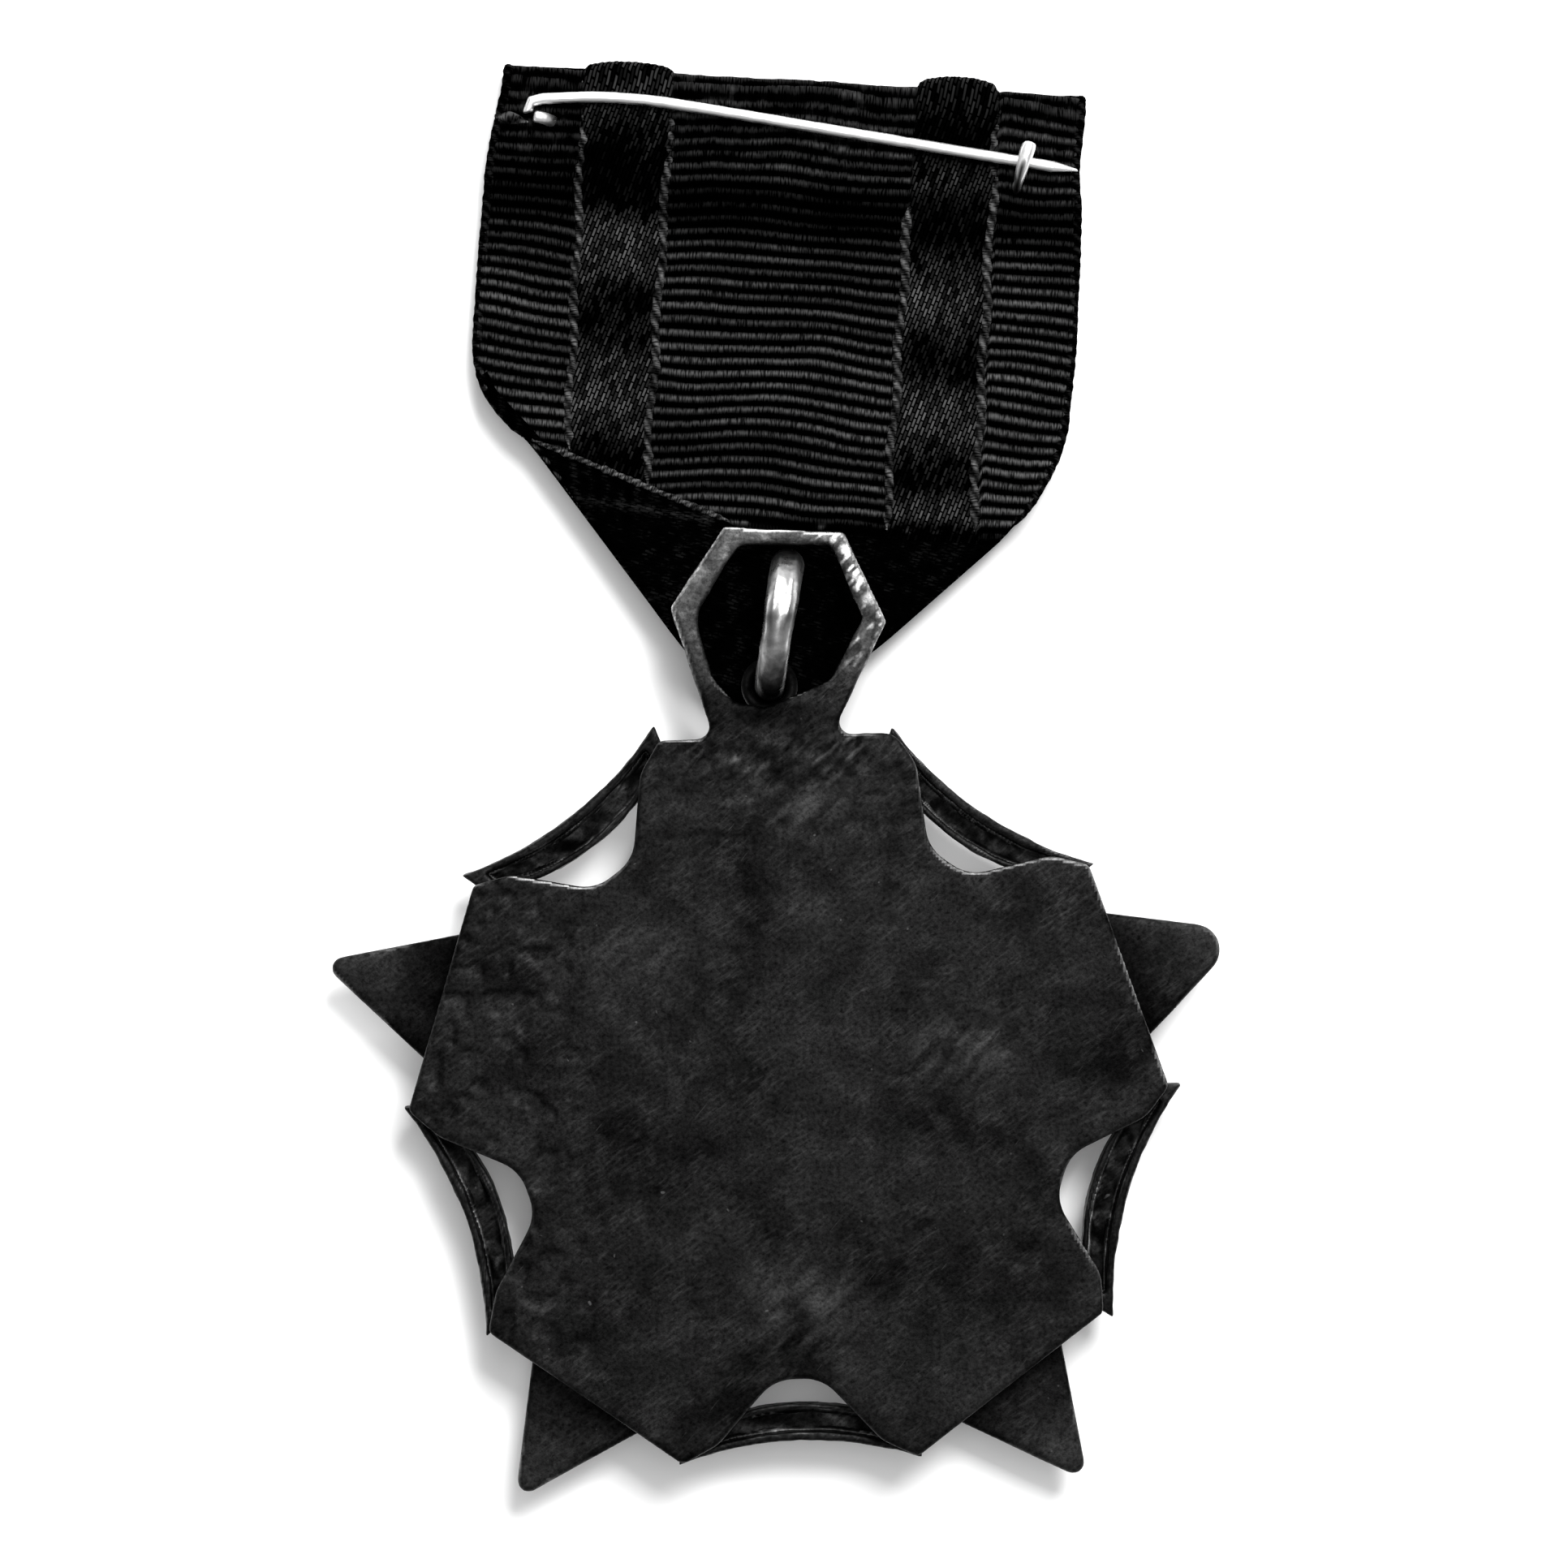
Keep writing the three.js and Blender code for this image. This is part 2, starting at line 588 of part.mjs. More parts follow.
STRUT_SHIFTS.forEach((shift, side) => {
  const angle = UP + SECTOR * (side + 0.5);
  const { x, y } = polar(shift, angle);
  const mesh = piece(`strut_${side + 1}`, strut(), PATINA);
  mesh.rotation.z = angle;
  mesh.position.set(x, y, 0);
  badge.add(mesh);
});

// The eyelet stands round the lower end of the ring, square to the badge.
const lowEnd = polar(RING_RADIUS, rad(RING_PLACE.turn) - UP);
const eyelet = piece('ring_eyelet', ringEyelet(), PATINA);
eyelet.position.set(RING_PLACE.x + lowEnd.x, RING_PLACE.y + lowEnd.y, RING_PLACE.z);
eyelet.rotation.z = rad(BADGE_PLACE.turn);
medal.add(eyelet);

// The origin is below the middle of the whole medal.
medal.updateMatrixWorld(true);
const middle = new THREE.Box3().setFromObject(medal).getCenter(new THREE.Vector3());
medal.position.set(-middle.x, -middle.y, 0);

export default medal;
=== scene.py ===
import json
import math

import bpy
import numpy as np
from mathutils import Matrix, Vector


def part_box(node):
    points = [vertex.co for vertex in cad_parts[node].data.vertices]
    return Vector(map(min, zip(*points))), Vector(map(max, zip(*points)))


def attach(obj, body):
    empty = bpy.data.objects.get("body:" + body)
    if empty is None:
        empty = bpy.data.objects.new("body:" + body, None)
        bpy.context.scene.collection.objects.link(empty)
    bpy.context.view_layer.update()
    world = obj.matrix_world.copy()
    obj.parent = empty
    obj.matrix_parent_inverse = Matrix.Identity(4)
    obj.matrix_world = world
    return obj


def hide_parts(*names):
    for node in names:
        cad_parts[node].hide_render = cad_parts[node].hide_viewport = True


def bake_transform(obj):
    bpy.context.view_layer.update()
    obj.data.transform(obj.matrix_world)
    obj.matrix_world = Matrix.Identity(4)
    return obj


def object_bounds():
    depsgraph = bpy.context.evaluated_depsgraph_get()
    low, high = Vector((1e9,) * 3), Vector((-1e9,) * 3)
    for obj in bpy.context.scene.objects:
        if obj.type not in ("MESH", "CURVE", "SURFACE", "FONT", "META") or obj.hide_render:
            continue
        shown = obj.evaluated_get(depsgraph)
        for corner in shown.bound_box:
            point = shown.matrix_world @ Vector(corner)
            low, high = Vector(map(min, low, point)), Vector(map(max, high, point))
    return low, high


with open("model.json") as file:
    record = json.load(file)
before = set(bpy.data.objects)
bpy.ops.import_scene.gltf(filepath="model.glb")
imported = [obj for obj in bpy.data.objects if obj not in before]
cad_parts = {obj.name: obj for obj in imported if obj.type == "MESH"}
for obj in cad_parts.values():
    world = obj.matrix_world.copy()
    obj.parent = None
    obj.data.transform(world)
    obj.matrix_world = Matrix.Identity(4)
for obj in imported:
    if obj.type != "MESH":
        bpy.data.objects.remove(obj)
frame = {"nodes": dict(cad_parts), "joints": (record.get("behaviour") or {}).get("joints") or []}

# A service medal on a folded, striped ribbon, lying face down. The ribbon is modelled in its own frame in
# millimetres (x = 0 on its middle, y = 0 at the top fold, z = 0 at its front) and placed by the CAD frame.
# Lengths are in millimetres unless a comment says otherwise; looks are shares from 0 to 1.

CAD_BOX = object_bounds()
MM = 0.001
JOINTS = {joint["name"]: joint for joint in frame["joints"]}

# ribbon
RIBBON_TILT = math.radians(-4.5)
FLEX_Y = -26.95  # the line where the cloth bends when the badge is lifted
FLEX_Z = 1.4
FRONT_Z = 0.12  # outer face of the front panel
HEM_Z = 2.4  # top of the hem
PANEL_Z = 1.4  # top of the back panel
HEM_END = 6.0
HEM_RUN_OUT = 2.6
BACK_END = -28.3  # the back panel's lower, turned edge
FOLD_RADIUS = (HEM_Z - FRONT_Z) / 2
FOLD_REACH = FOLD_RADIUS + 0.4  # the top fold bulges up past its half round
LEFT_FLAP_Z = 1.95
RIGHT_FLAP_Z = 1.05
RIB_PITCH = 0.82
RIB_HEIGHT = 0.26
RIB_SHARE = 0.66  # the part of its pitch that a rib fills
RIB_STRENGTH_AT = (-4, 0, 1, 4.6, 6, 7.6, 9.2, 12)  # down from the top fold
RIB_STRENGTH = (0.6, 0.5, 0.55, 0.6, 0.45, 0.42, 0.75, 1)  # how light and high the ribs are there
RIB_WAVES = 0.12  # height of the ribs' slow waves
RIB_WANDER = 0.1  # how far each rib strays from them
RIB_ARCH = (0.25, 0.4)  # how far they arch in the middle at the top fold, and how much that grows down
LEFT_SLOPE = (0.05, 0.08)  # slope of the left band's ribs at the top fold, and how much that grows down
RIGHT_SLOPE = 0.045
RIB_OWN_LIGHT = 0.22  # how much a rib's lightness differs from its neighbours'
FUZZ_SIZE = 0.5  # loose fibres on the hem
FUZZ_LIGHT = 0.14
FUZZ_HEIGHT = 0.05
SELVEDGE = 0.3  # radius of the cord along each edge of the cloth
UV_SCALE = 0.01  # UV units per millimetre of cloth
UNDER_NEEDLE = 0.28  # the cloth's relief stays this low on the hem, where the needle lies over it
EYELET_CLEAR = 1.4  # the left flap is pressed down to this height under the eyelet
CORD_TAPER = 0.9  # each cord thins out over this length at its ends
TIP_Y = -40.2
OUTLINE_SCALE = 1.014  # the cords along the edges stand out past the woven cloth

# half outlines of the folded ribbon, as (y, x) pairs from the top fold to the point
LEFT_OUTLINE = (
    (0, -18.0), (-3, -18.6), (-6, -19.0), (-10.7, -19.15), (-17.3, -19.2), (-19.1, -19.0), (-20.8, -18.25),
    (-23.7, -15.3), (-35.2, -5.7), (-38.6, -2.7), (TIP_Y, 0.2),
)
RIGHT_OUTLINE = (
    (0, 18.3), (-4.8, 18.0), (-7, 18.4), (-15.7, 18.5), (-21.6, 18.2), (-24.9, 16.9), (-27.8, 14.8),
    (-34.7, 7.8), (-38.6, 3.4), (TIP_Y, 0.2),
)
# satin stripes: (left edge, right edge) at the top fold and 27 mm further down
LEFT_SATIN = ((-13.3, -7.7), (-13.0, -8.0))
RIGHT_SATIN = ((7.8, 12.9), (7.3, 12.8))
STRIPE_SPAN = 27
STRIPE_BLUR = 0.15  # a stripe's edge fades over this width on each side
# plain bands outside the stripes: where the left one fades out and where the right one fades in
LEFT_BAND = (-13.5, -13.1)
RIGHT_BAND = (12.9, 13.3)
BAND_MIDDLE = 16  # from the ribbon's middle to the middle of each plain band
# waves in the satin: distance of a crest from the top fold, and the pitch
LEFT_WAVE = (9.6, 9.6)
RIGHT_WAVE = (12.4, 7.2)
SATIN_STRENGTH_AT = (-4, 0, 4, 5.6, 7, 9)  # down from the top fold
SATIN_STRENGTH = (0.5, 0.55, 0.6, 0.4, 0.5, 0.85)  # how light the satin is there
# painted sheen: the satin's wave crests are painted lighter
SATIN_WAVE_SHEEN = 0.24
SATIN_WAVE_HEIGHT = 0.12
LEFT_SWELL = 0.5  # how far the stripes swell up where the strip turns over the fold
RIGHT_SWELL = 0.7
SATIN_STITCH = 0.42  # pitch of the stitches across the satin, where it swells at the top

# upper lines of the folded-in corners, from the outside in
LEFT_FLAP_LINE = ((-18.2, -20.9), (-16.6, -22.6), (-15.3, -23.5), (-9.5, -25.5), (-2.5, -28.0), (1.2, -29.6))
RIGHT_FLAP_LINE = ((17.3, -24.2), (15.2, -27.2), (14.8, -27.5), (5.7, -27.9), (-0.6, -28.0))
FLAP_CREASE = ((-12.3, -26.9), (-3.5, -27.9))  # a faint line pressed into the left corner
FLAP_RIDGE = 1.05  # pitch of a corner's faint ribs

# cords: the edges' cords are smooth, the stripes' cords are lumpy
CORD_STEP = 0.1
CORD_SIDES = 10
ROUTE_SOFTENING = 0.8  # the corners of a cord's route are rounded over this length
SELVEDGE_PITCH = 0.7
SELVEDGE_LOOK = {"light": 0.3, "lumps": 0.1, "ply": 0.05}
STRIPE_CORD_RADIUS = 0.27
STRIPE_CORD_PITCH = 1.1
CORD_SINK = 0.24  # how deep the stripes' cords are sunk into the hem, under the needle
STITCH_ROUTE = ((-18.8, -3.0, 2.5), (-17.8, -3.1, 2.85), (-16.7, -3.3, 2.6))
STITCH_RADIUS = 0.36

# grids of the cloth: rows and columns
BACK_GRID = (262, 236)
FRONT_GRID = (236, 190)
FLAP_GRID = (76, 112)
ROLL_ROWS = 14
FRONT_START = 12  # the front panel's pattern starts this far down the strip

# badge, in its own frame: the origin is the badge's centre, +Y points at the loop
BADGE_TURN = math.radians(1.9)
LOOP_CENTRE = Vector((0.35, 30.25))
RING_WIRE = 0.95
RING_FLAT = 0.84  # cosine of half the angle over which wear has flattened its outer side
RING_PAINTED_LIGHT_AT = (-5.4, -4.4, -3.2, -2.2, -1.2, -0.2, 0.8, 2.6, 3.5, 4.3)  # above the loop's centre
RING_PAINTED_LIGHT = (0.04, 0.15, 0.3, 0.75, 0.5, 0.25, 0.8, 1.0, 0.35, 0.05)  # how light the ring is painted there: painted highlights around -2.2 and in its upper third, painted shade at its ends
NECK_Y = 21.5
# places on the badge: x, y, and how far they reach across and up
NECK_PLACE = (0.6, NECK_Y + 0.5, 5.5, 2.6)
# painted shade on the neck under the ring's lower end:
SHADE_UNDER_RING_PLACE = (-0.8, -6.2, 2.6, 1.2)  # from the loop's centre
RUBBED_SQUASH = 0.6  # a worn patch is this much shorter than it is wide
# worn patches on the plate: x, y and radius
RUBBED = ((0.7, -13.0, 3.6), (10.5, 2.6, 2.6), (2.0, 18.0, 2.4), (-9.0, 9.5, 2.2))

# dents and lumps of struck metal: height, size and seed of each layer
PLATE_DENTS = ((0.07, 7, 81), (0.035, 2.4, 82), (0.012, 0.8, 83))
STAR_DENTS = ((0.09, 6, 91), (0.04, 1.6, 92))
RING_DENTS = ((0.04, 1.6, 151), (0.02, 0.6, 152))
# noise drawn out one way, for marks and streaks: its size along x, y and z
FILE_MARKS = np.array([1.7, 0.4, 1.7])
FINE_FILE_MARKS = np.array([0.8, 0.25, 0.8])
FLECKS = np.array([0.8, 0.3, 0.8])
SCUFFS = np.array([1.6, 0.5, 1.6])
STREAKS = np.array([0.35, 1.6, 0.35])
EDGE_FACING = 0.62  # how far a rounded edge's surface faces out of the flat beside it
EDGE_SPREAD = 0.3

# the remeshed pieces: voxel size and rounds of smoothing
FINE = {
    "back_plate": (0.18, 4),
    "star": (0.2, 5),
    "strut": (0.11, 3),
    "medallion_disc": (0.2, 4),
    "medallion_rim": (0.16, 4),
    "centre_boss": (0.18, 4),
    "ring_eyelet": (0.08, 2),
    "suspension_ring": (0.12, 4),
    "wire": (0.055, 7),
}

# hook, in the ribbon's frame
HOOK_FOOT = Vector((14.3, -6.1))
HOOK_TOP = Vector((14.9, -2.9))
POINT_START = 14.8
POINT_REACH = 0.24
HOOK_WIDTH_AT = (-0.1, 0.0, 0.3, 0.75, 0.95, 1.05)  # up the hook, from 0 at its foot to 1 at its top
HOOK_WIDTH = (0.35, 0.45, 0.85, 1.15, 0.95, 0.6)  # how much wider than the plain wire it is there


# ---------------------------------------------------------------- numbers


def smoothstep(low, high, value):
    t = np.clip((value - low) / (high - low), 0, 1)
    return t * t * (3 - 2 * t)


def hashed(i, j, k, seed):
    """A repeatable value from -1 to 1 for each whole-number triple."""
    mixed = (i * 374761393 + j * 668265263 + k * 2147483647 + seed * 1274126177) & 0xFFFFFFFF
    mixed = ((mixed ^ (mixed >> 13)) * 1103515245) & 0xFFFFFFFF
    mixed = mixed ^ (mixed >> 16)
    return (mixed & 0xFFFF) / 32767.5 - 1


def soft_noise(points, size, seed):
    """Smooth noise from -1 to 1 at points (n, 3), with features of one size or of one size per axis."""
    scaled = np.asarray(points, float) / size
    cell = np.floor(scaled).astype(np.int64)
    part = scaled - cell
    part = part * part * (3 - 2 * part)
    total = np.zeros(len(scaled))
    for corner in range(8):
        step = np.array([corner & 1, (corner >> 1) & 1, corner >> 2])
        weight = np.prod(np.where(step == 1, part, 1 - part), axis=1)
        total += weight * hashed(*(cell + step).T, seed)
    return total


def flat_noise(x, y, size, seed):
    """soft_noise over a grid of x and y."""
    points = np.stack([x.ravel(), y.ravel(), np.full(x.size, 0.37)], axis=1)
    return soft_noise(points, size, seed).reshape(x.shape)


# ---------------------------------------------------------------- frames


def ribbon_frame():
    flex = JOINTS["point_fold"]
    right = -Vector(flex["axis"]).normalized()
    level = Vector((0, 0, 1)).cross(right)
    up = level * math.cos(RIBBON_TILT) + Vector((0, 0, 1)) * math.sin(RIBBON_TILT)
    out = right.cross(up)
    origin = Vector(flex["pos_m"]) - (up * FLEX_Y + out * FLEX_Z) * MM
    turn = Matrix((right * MM, up * MM, out * MM)).transposed().to_4x4()
    return Matrix.Translation(origin) @ turn


RIBBON = ribbon_frame()


# ---------------------------------------------------------------- meshes


def new_mesh(name, points, faces, place, values=None, uv=None):
    """An object from points (n, 3) in place's frame; each entry of values becomes a float attribute."""
    mesh = bpy.data.meshes.new(name)
    mesh.vertices.add(len(points))
    mesh.vertices.foreach_set("co", np.asarray(points, np.float32).ravel())
    mesh.loops.add(faces.size)
    mesh.loops.foreach_set("vertex_index", faces.ravel().astype(np.int32))
    mesh.polygons.add(len(faces))
    mesh.polygons.foreach_set("loop_start", np.arange(len(faces), dtype=np.int32) * faces.shape[1])
    mesh.update(calc_edges=True)
    for key, value in (values or {}).items():
        layer = mesh.attributes.new(key, "FLOAT", "POINT")
        layer.data.foreach_set("value", np.asarray(value, np.float32).ravel())
    if uv is not None:
        layer = mesh.uv_layers.new(name="cloth")
        layer.data.foreach_set("uv", (uv[faces.ravel()] * UV_SCALE).astype(np.float32).ravel())
    mesh.transform(place)
    mesh.shade_smooth()
    obj = bpy.data.objects.new(name, mesh)
    bpy.context.scene.collection.objects.link(obj)
    return obj


def grid_faces(rows, columns, wrap=False):
    """Quads of a grid whose vertices are numbered row by row; wrap joins the last column to the first."""
    index = np.arange(rows * columns).reshape(rows, columns)
    after = np.roll(index, -1, axis=1) if wrap else index[:, 1:]
    here = index if wrap else index[:, :-1]
    return np.stack([here[:-1], after[:-1], after[1:], here[1:]], axis=-1).reshape(-1, 4)[:, ::-1]


def grid_area(points):
    """Area of a grid of points (rows, columns, 3), in square millimetres."""
    across = points[:-1, 1:] - points[:-1, :-1]
    down = points[1:, :-1] - points[:-1, :-1]
    return float(np.linalg.norm(np.cross(across, down), axis=-1).sum())


def swept(route, radius, sides, twist=None):
    """Rings of points (n, sides, 3) round a route (n, 3); radius is one number or (n, 1)."""
    ahead = np.gradient(route, axis=0)
    ahead /= np.linalg.norm(ahead, axis=1, keepdims=True)
    side = np.cross(ahead, [0, 0, 1])
    side /= np.maximum(np.linalg.norm(side, axis=1, keepdims=True), 1e-9)
    out = np.cross(side, ahead)
    angle = np.linspace(0, 2 * np.pi, sides, endpoint=False)[None, :]
    reach = radius * (1 if twist is None else twist(angle))
    ring = np.cos(angle)[..., None] * side[:, None] + np.sin(angle)[..., None] * out[:, None]
    return route[:, None] + ring * np.broadcast_to(reach, ring.shape[:2])[..., None]


def capped(faces, rows, columns):
    """Adds a fan of quads at each end of a swept tube with an even number of sides."""
    caps = []
    for start, flip in ((0, True), ((rows - 1) * columns, False)):
        for i in range(columns // 2 - 1):
            quad = [start + i, start + i + 1, start + columns - 2 - i, start + columns - 1 - i]
            caps.append(quad[::-1] if flip else quad)
    return np.concatenate([faces, np.array(caps)])


def even_route(corners, step):
    """Points every step along a smooth line through corners."""
    corners = np.asarray(corners, float)
    lengths = np.linalg.norm(np.diff(corners, axis=0), axis=1)
    at = np.concatenate([[0], np.cumsum(lengths)])
    dense = np.linspace(0, at[-1], max(int(at[-1] / step), 4))
    line = np.stack([np.interp(dense, at, corners[:, axis]) for axis in range(corners.shape[1])], axis=1)
    reach = max(int(ROUTE_SOFTENING / step), 1)
    padded = np.pad(line, ((reach, reach), (0, 0)), mode="reflect", reflect_type="odd")
    kernel = np.hanning(2 * reach + 3)[1:-1]
    kernel /= kernel.sum()
    smooth = [np.convolve(padded[:, axis], kernel, "valid") for axis in range(line.shape[1])]
    return np.stack(smooth, axis=1)


# ---------------------------------------------------------------- materials


class Shader:
    """A node material with one Principled shader, and short ways to add nodes to it."""

    def __init__(self, name, **settings):
        self.material = bpy.data.materials.new(name)
        self.material.use_nodes = True
        self.tree = self.material.node_tree
        self.principled = self.tree.nodes["Principled BSDF"]
        for key, value in settings.items():
            self.principled.inputs[key.replace("_", " ")].default_value = value

    def add(self, kind, **settings):
        node = self.tree.nodes.new("ShaderNode" + kind)
        for key, value in settings.items():
            setattr(node, key, value)
        return node

    def link(self, output, target, socket):
        self.tree.links.new(output, target.inputs[socket])

    def drive(self, output, socket):
        self.tree.links.new(output, self.principled.inputs[socket])

    def mapped(self, source, scale, turn=0.0):
        node = self.add("Mapping", vector_type="TEXTURE")
        node.inputs["Scale"].default_value = [1 / factor for factor in scale]
        node.inputs["Rotation"].default_value = (0, 0, turn)
        self.link(source, node, "Vector")
        return node.outputs["Vector"]

    def noise(self, vector, scale=1.0, detail=3.0, roughness=0.5):
        node = self.add("TexNoise")
        self.link(vector, node, "Vector")
        node.inputs["Scale"].default_value = scale
        node.inputs["Detail"].default_value = detail
        node.inputs["Roughness"].default_value = roughness
        return node.outputs["Fac"]

    def ramp(self, value, *stops):
        node = self.add("ValToRGB")
        self.link(value, node, "Fac")
        elements = node.color_ramp.elements
        while len(elements) < len(stops):
            elements.new(0.5)
        for element, (position, grey) in zip(elements, stops):
            element.position = position
            element.color = (grey, grey, grey, 1)
        return node.outputs["Color"]

    def floats(self, vector, length, pitch, gap):
        """Rows of staggered thread floats along the vector's x, dark between them."""
        node = self.add("TexBrick")
        self.link(vector, node, "Vector")
        node.inputs["Scale"].default_value = 1
        node.inputs["Brick Width"].default_value = length
        node.inputs["Row Height"].default_value = pitch
        node.inputs["Mortar Size"].default_value = gap
        node.inputs["Mortar Smooth"].default_value = 0.7
        for socket, grey in (("Color1", 1.0), ("Color2", 0.25), ("Mortar", 0.0)):
            node.inputs[socket].default_value = (grey, grey, grey, 1)
        return node.outputs["Color"]

    def math(self, operation, first, second):
        node = self.add("Math", operation=operation)
        for socket, value in enumerate((first, second)):
            if isinstance(value, (int, float)):
                node.inputs[socket].default_value = value
            else:
                self.link(value, node, socket)
        return node.outputs["Value"]

    def mix(self, factor, first, second):
        """Between two greys, each a number or an output."""
        node = self.add("Mix", data_type="FLOAT")
        self.link(factor, node, 0)
        for socket, value in ((2, first), (3, second)):
            if isinstance(value, (int, float)):
                node.inputs[socket].default_value = value
            else:
                self.link(value, node, socket)
        return node.outputs[0]

    def attribute(self, name):
        return self.add("Attribute", attribute_name=name).outputs["Fac"]

    def place(self):
        return self.add("TexCoord").outputs["Object"]

    def bump(self, height, distance, strength=1.0):
        node = self.add("Bump")
        self.link(height, node, "Height")
        node.inputs["Distance"].default_value = distance
        node.inputs["Strength"].default_value = strength
        self.drive(node.outputs["Normal"], "Normal")


def cloth_material():
    """Black yarn: dotted ribs in the plain bands, slanting floats in the satin."""
    shader = Shader("ribbon cloth", Roughness=0.6)
    cloth = shader.add("UVMap", uv_map="cloth").outputs["UV"]
    # tone carries the cloth's lightness, with painted shade between ribs and strands, painted sheen on the
    # satin and a painted glint
    tone = shader.attribute("tone")
    satin = shader.attribute("satin")
    dots = shader.noise(shader.mapped(cloth, (1000, 160, 1)), detail=1.0)
    dot_light = shader.ramp(dots, (0.36, 0.3), (0.5, 0.75), (0.66, 1.0))
    per_mm = 1 / UV_SCALE
    slanted = shader.mapped(cloth, (per_mm, per_mm, 1), math.radians(-72))
    floats = shader.floats(slanted, 0.62, 0.23, 0.06)
    yarn = shader.mix(satin, dot_light, floats)
    light = shader.math("MULTIPLY", tone, yarn)
    colour = shader.ramp(light, (0.0, 0.0), (0.1, 0.0003), (0.3, 0.01), (0.6, 0.05), (1.0, 0.12))
    shader.drive(colour, "Base Color")
    shader.drive(shader.ramp(light, (0.1, 0.0), (1.0, 0.2)), "Specular IOR Level")
    thread = shader.mix(satin, dots, floats)
    shader.bump(thread, 0.00012, 0.9)
    return shader.material


def patina_material():
    """Dark patina on struck metal: cloudy, finely scratched, bright where the per-point value is 1 from real
    wear and painted highlight, darkened by painted shade where it is -1.
    """
    shader = Shader("dark patina", Metallic=1.0, Roughness=0.5)
    place = shader.place()
    cloud = shader.noise(place, 150, 4.0, 0.6)
    grain = shader.noise(place, 3800, 3.0, 0.7)
    scratch = shader.noise(shader.mapped(place, (1100, 5200, 1100), math.radians(36)), 1.0, 2.0)
    cross = shader.noise(shader.mapped(place, (600, 9000, 600), math.radians(52)), 1.0, 2.0)
    speck = shader.ramp(shader.noise(place, 1700, 1.0), (0.77, 0.0), (0.82, 1.0))
    patch = shader.noise(place, 420, 3.0, 0.6)
    cloud_light = shader.ramp(cloud, (0.35, 0.002), (0.65, 0.009))
    patch_light = shader.ramp(patch, (0.45, 0.0), (0.75, 0.005))
    base = shader.math("ADD", cloud_light, patch_light)
    grained = shader.math("MULTIPLY", base, shader.ramp(grain, (0.3, 0.35), (0.7, 1.9)))
    scratch_light = shader.ramp(scratch, (0.5, 0.0), (0.72, 0.012))
    scratch_share = shader.ramp(patch, (0.4, 0.1), (0.65, 1.0))
    one_way = shader.math("MULTIPLY", scratch_light, scratch_share)
    lines = shader.math("ADD", one_way, shader.ramp(cross, (0.7, 0.0), (0.8, 0.014)))
    scratched = shader.math("ADD", grained, lines)
    specked = shader.math("ADD", scratched, shader.math("MULTIPLY", speck, 0.04))
    wear_and_painted_light = shader.attribute("wear_and_painted_light")
    # negative values darken the colour: painted shade under the ring and beside the plate
    painted_shade_factor = shader.math("ADD", shader.math("MINIMUM", wear_and_painted_light, 0.0), 1.0)
    painted_shade_colour = shader.math("MULTIPLY", specked, painted_shade_factor)
    # positive values brighten it: real wear, plus painted highlight on lit edges and on the loop
    bright = shader.math("MAXIMUM", wear_and_painted_light, 0.0)
    worn = shader.math("MULTIPLY", bright, shader.ramp(grain, (0.3, 0.3), (0.75, 1.2)))
    shader.drive(shader.mix(worn, painted_shade_colour, 0.95), "Base Color")
    rough = shader.ramp(cloud, (0.3, 0.42), (0.7, 0.6))
    shader.drive(shader.mix(bright, rough, 0.36), "Roughness")
    shader.bump(shader.math("ADD", grain, patch), 0.00003, 0.6)
    return shader.material


def wire_material(name, grey, roughness, tarnish):
    """Polished wire with fine drawing lines and cloudy tarnish; its colour is scaled per point, which paints
    highlight and shade along the ring and shade in the hook's groove.
    """
    shader = Shader(name, Metallic=1.0, Roughness=roughness)
    place = shader.place()
    cloud = shader.noise(place, 900, 4.0, 0.6)
    fine = shader.noise(place, 5000, 2.0)
    colour = shader.ramp(cloud, (0.35, grey * (1 - tarnish)), (0.62, grey))
    # the per-point value paints light and shade into the colour of the ring and the hook
    shader.drive(shader.math("MULTIPLY", colour, shader.attribute("wear_and_painted_light")), "Base Color")
    shader.drive(shader.ramp(cloud, (0.3, roughness * 1.5), (0.7, roughness * 0.7)), "Roughness")
    shader.bump(fine, 0.00001, 0.5)
    return shader.material


def floor_material():
    shader = Shader("pale floor", Roughness=0.9)
    shader.principled.inputs["Base Color"].default_value = (0.95, 0.95, 0.95, 1)
    return shader.material


CLOTH = cloth_material()
PATINA = patina_material()
BRIGHT = wire_material("polished wire", 0.95, 0.36, 0.15)
RING_STEEL = wire_material("worn ring", 0.72, 0.3, 0.6)
# near-black copy of the wire for the eyelet: painted shade, as it sits in shade
SHADE_DARK_WIRE = wire_material("wire darkened as painted shade", 0.007, 0.6, 0.7)


# ---------------------------------------------------------------- ribbon


def outline_at(y):
    """The ribbon's left and right edges at height y, smoothed."""
    sides = []
    for pairs in (LEFT_OUTLINE, RIGHT_OUTLINE):
        heights, edges = np.array(pairs).T
        samples = [np.interp(-(y + shift), -heights, edges) for shift in np.linspace(-0.9, 0.9, 7)]
        sides.append(np.mean(samples, axis=0) * OUTLINE_SCALE)
    return sides


def stripe_edges(stripe, s):
    t = np.clip(s / STRIPE_SPAN, 0, 1)
    (left_top, right_top), (left_low, right_low) = stripe
    return left_top + (left_low - left_top) * t, right_top + (right_low - right_top) * t


def in_stripe(stripe, x, s):
    left, right = stripe_edges(stripe, s)
    past_left = smoothstep(left - STRIPE_BLUR, left + STRIPE_BLUR, x)
    past_right = smoothstep(right - STRIPE_BLUR, right + STRIPE_BLUR, x)
    return past_left * (1 - past_right)


def half_round(stripe, x, s):
    """1 along the middle of a stripe, falling to 0 at its edges."""
    left, right = stripe_edges(stripe, s)
    across = (2 * x - left - right) / (right - left)
    return np.sqrt(np.clip(1 - across**2, 0, 1))


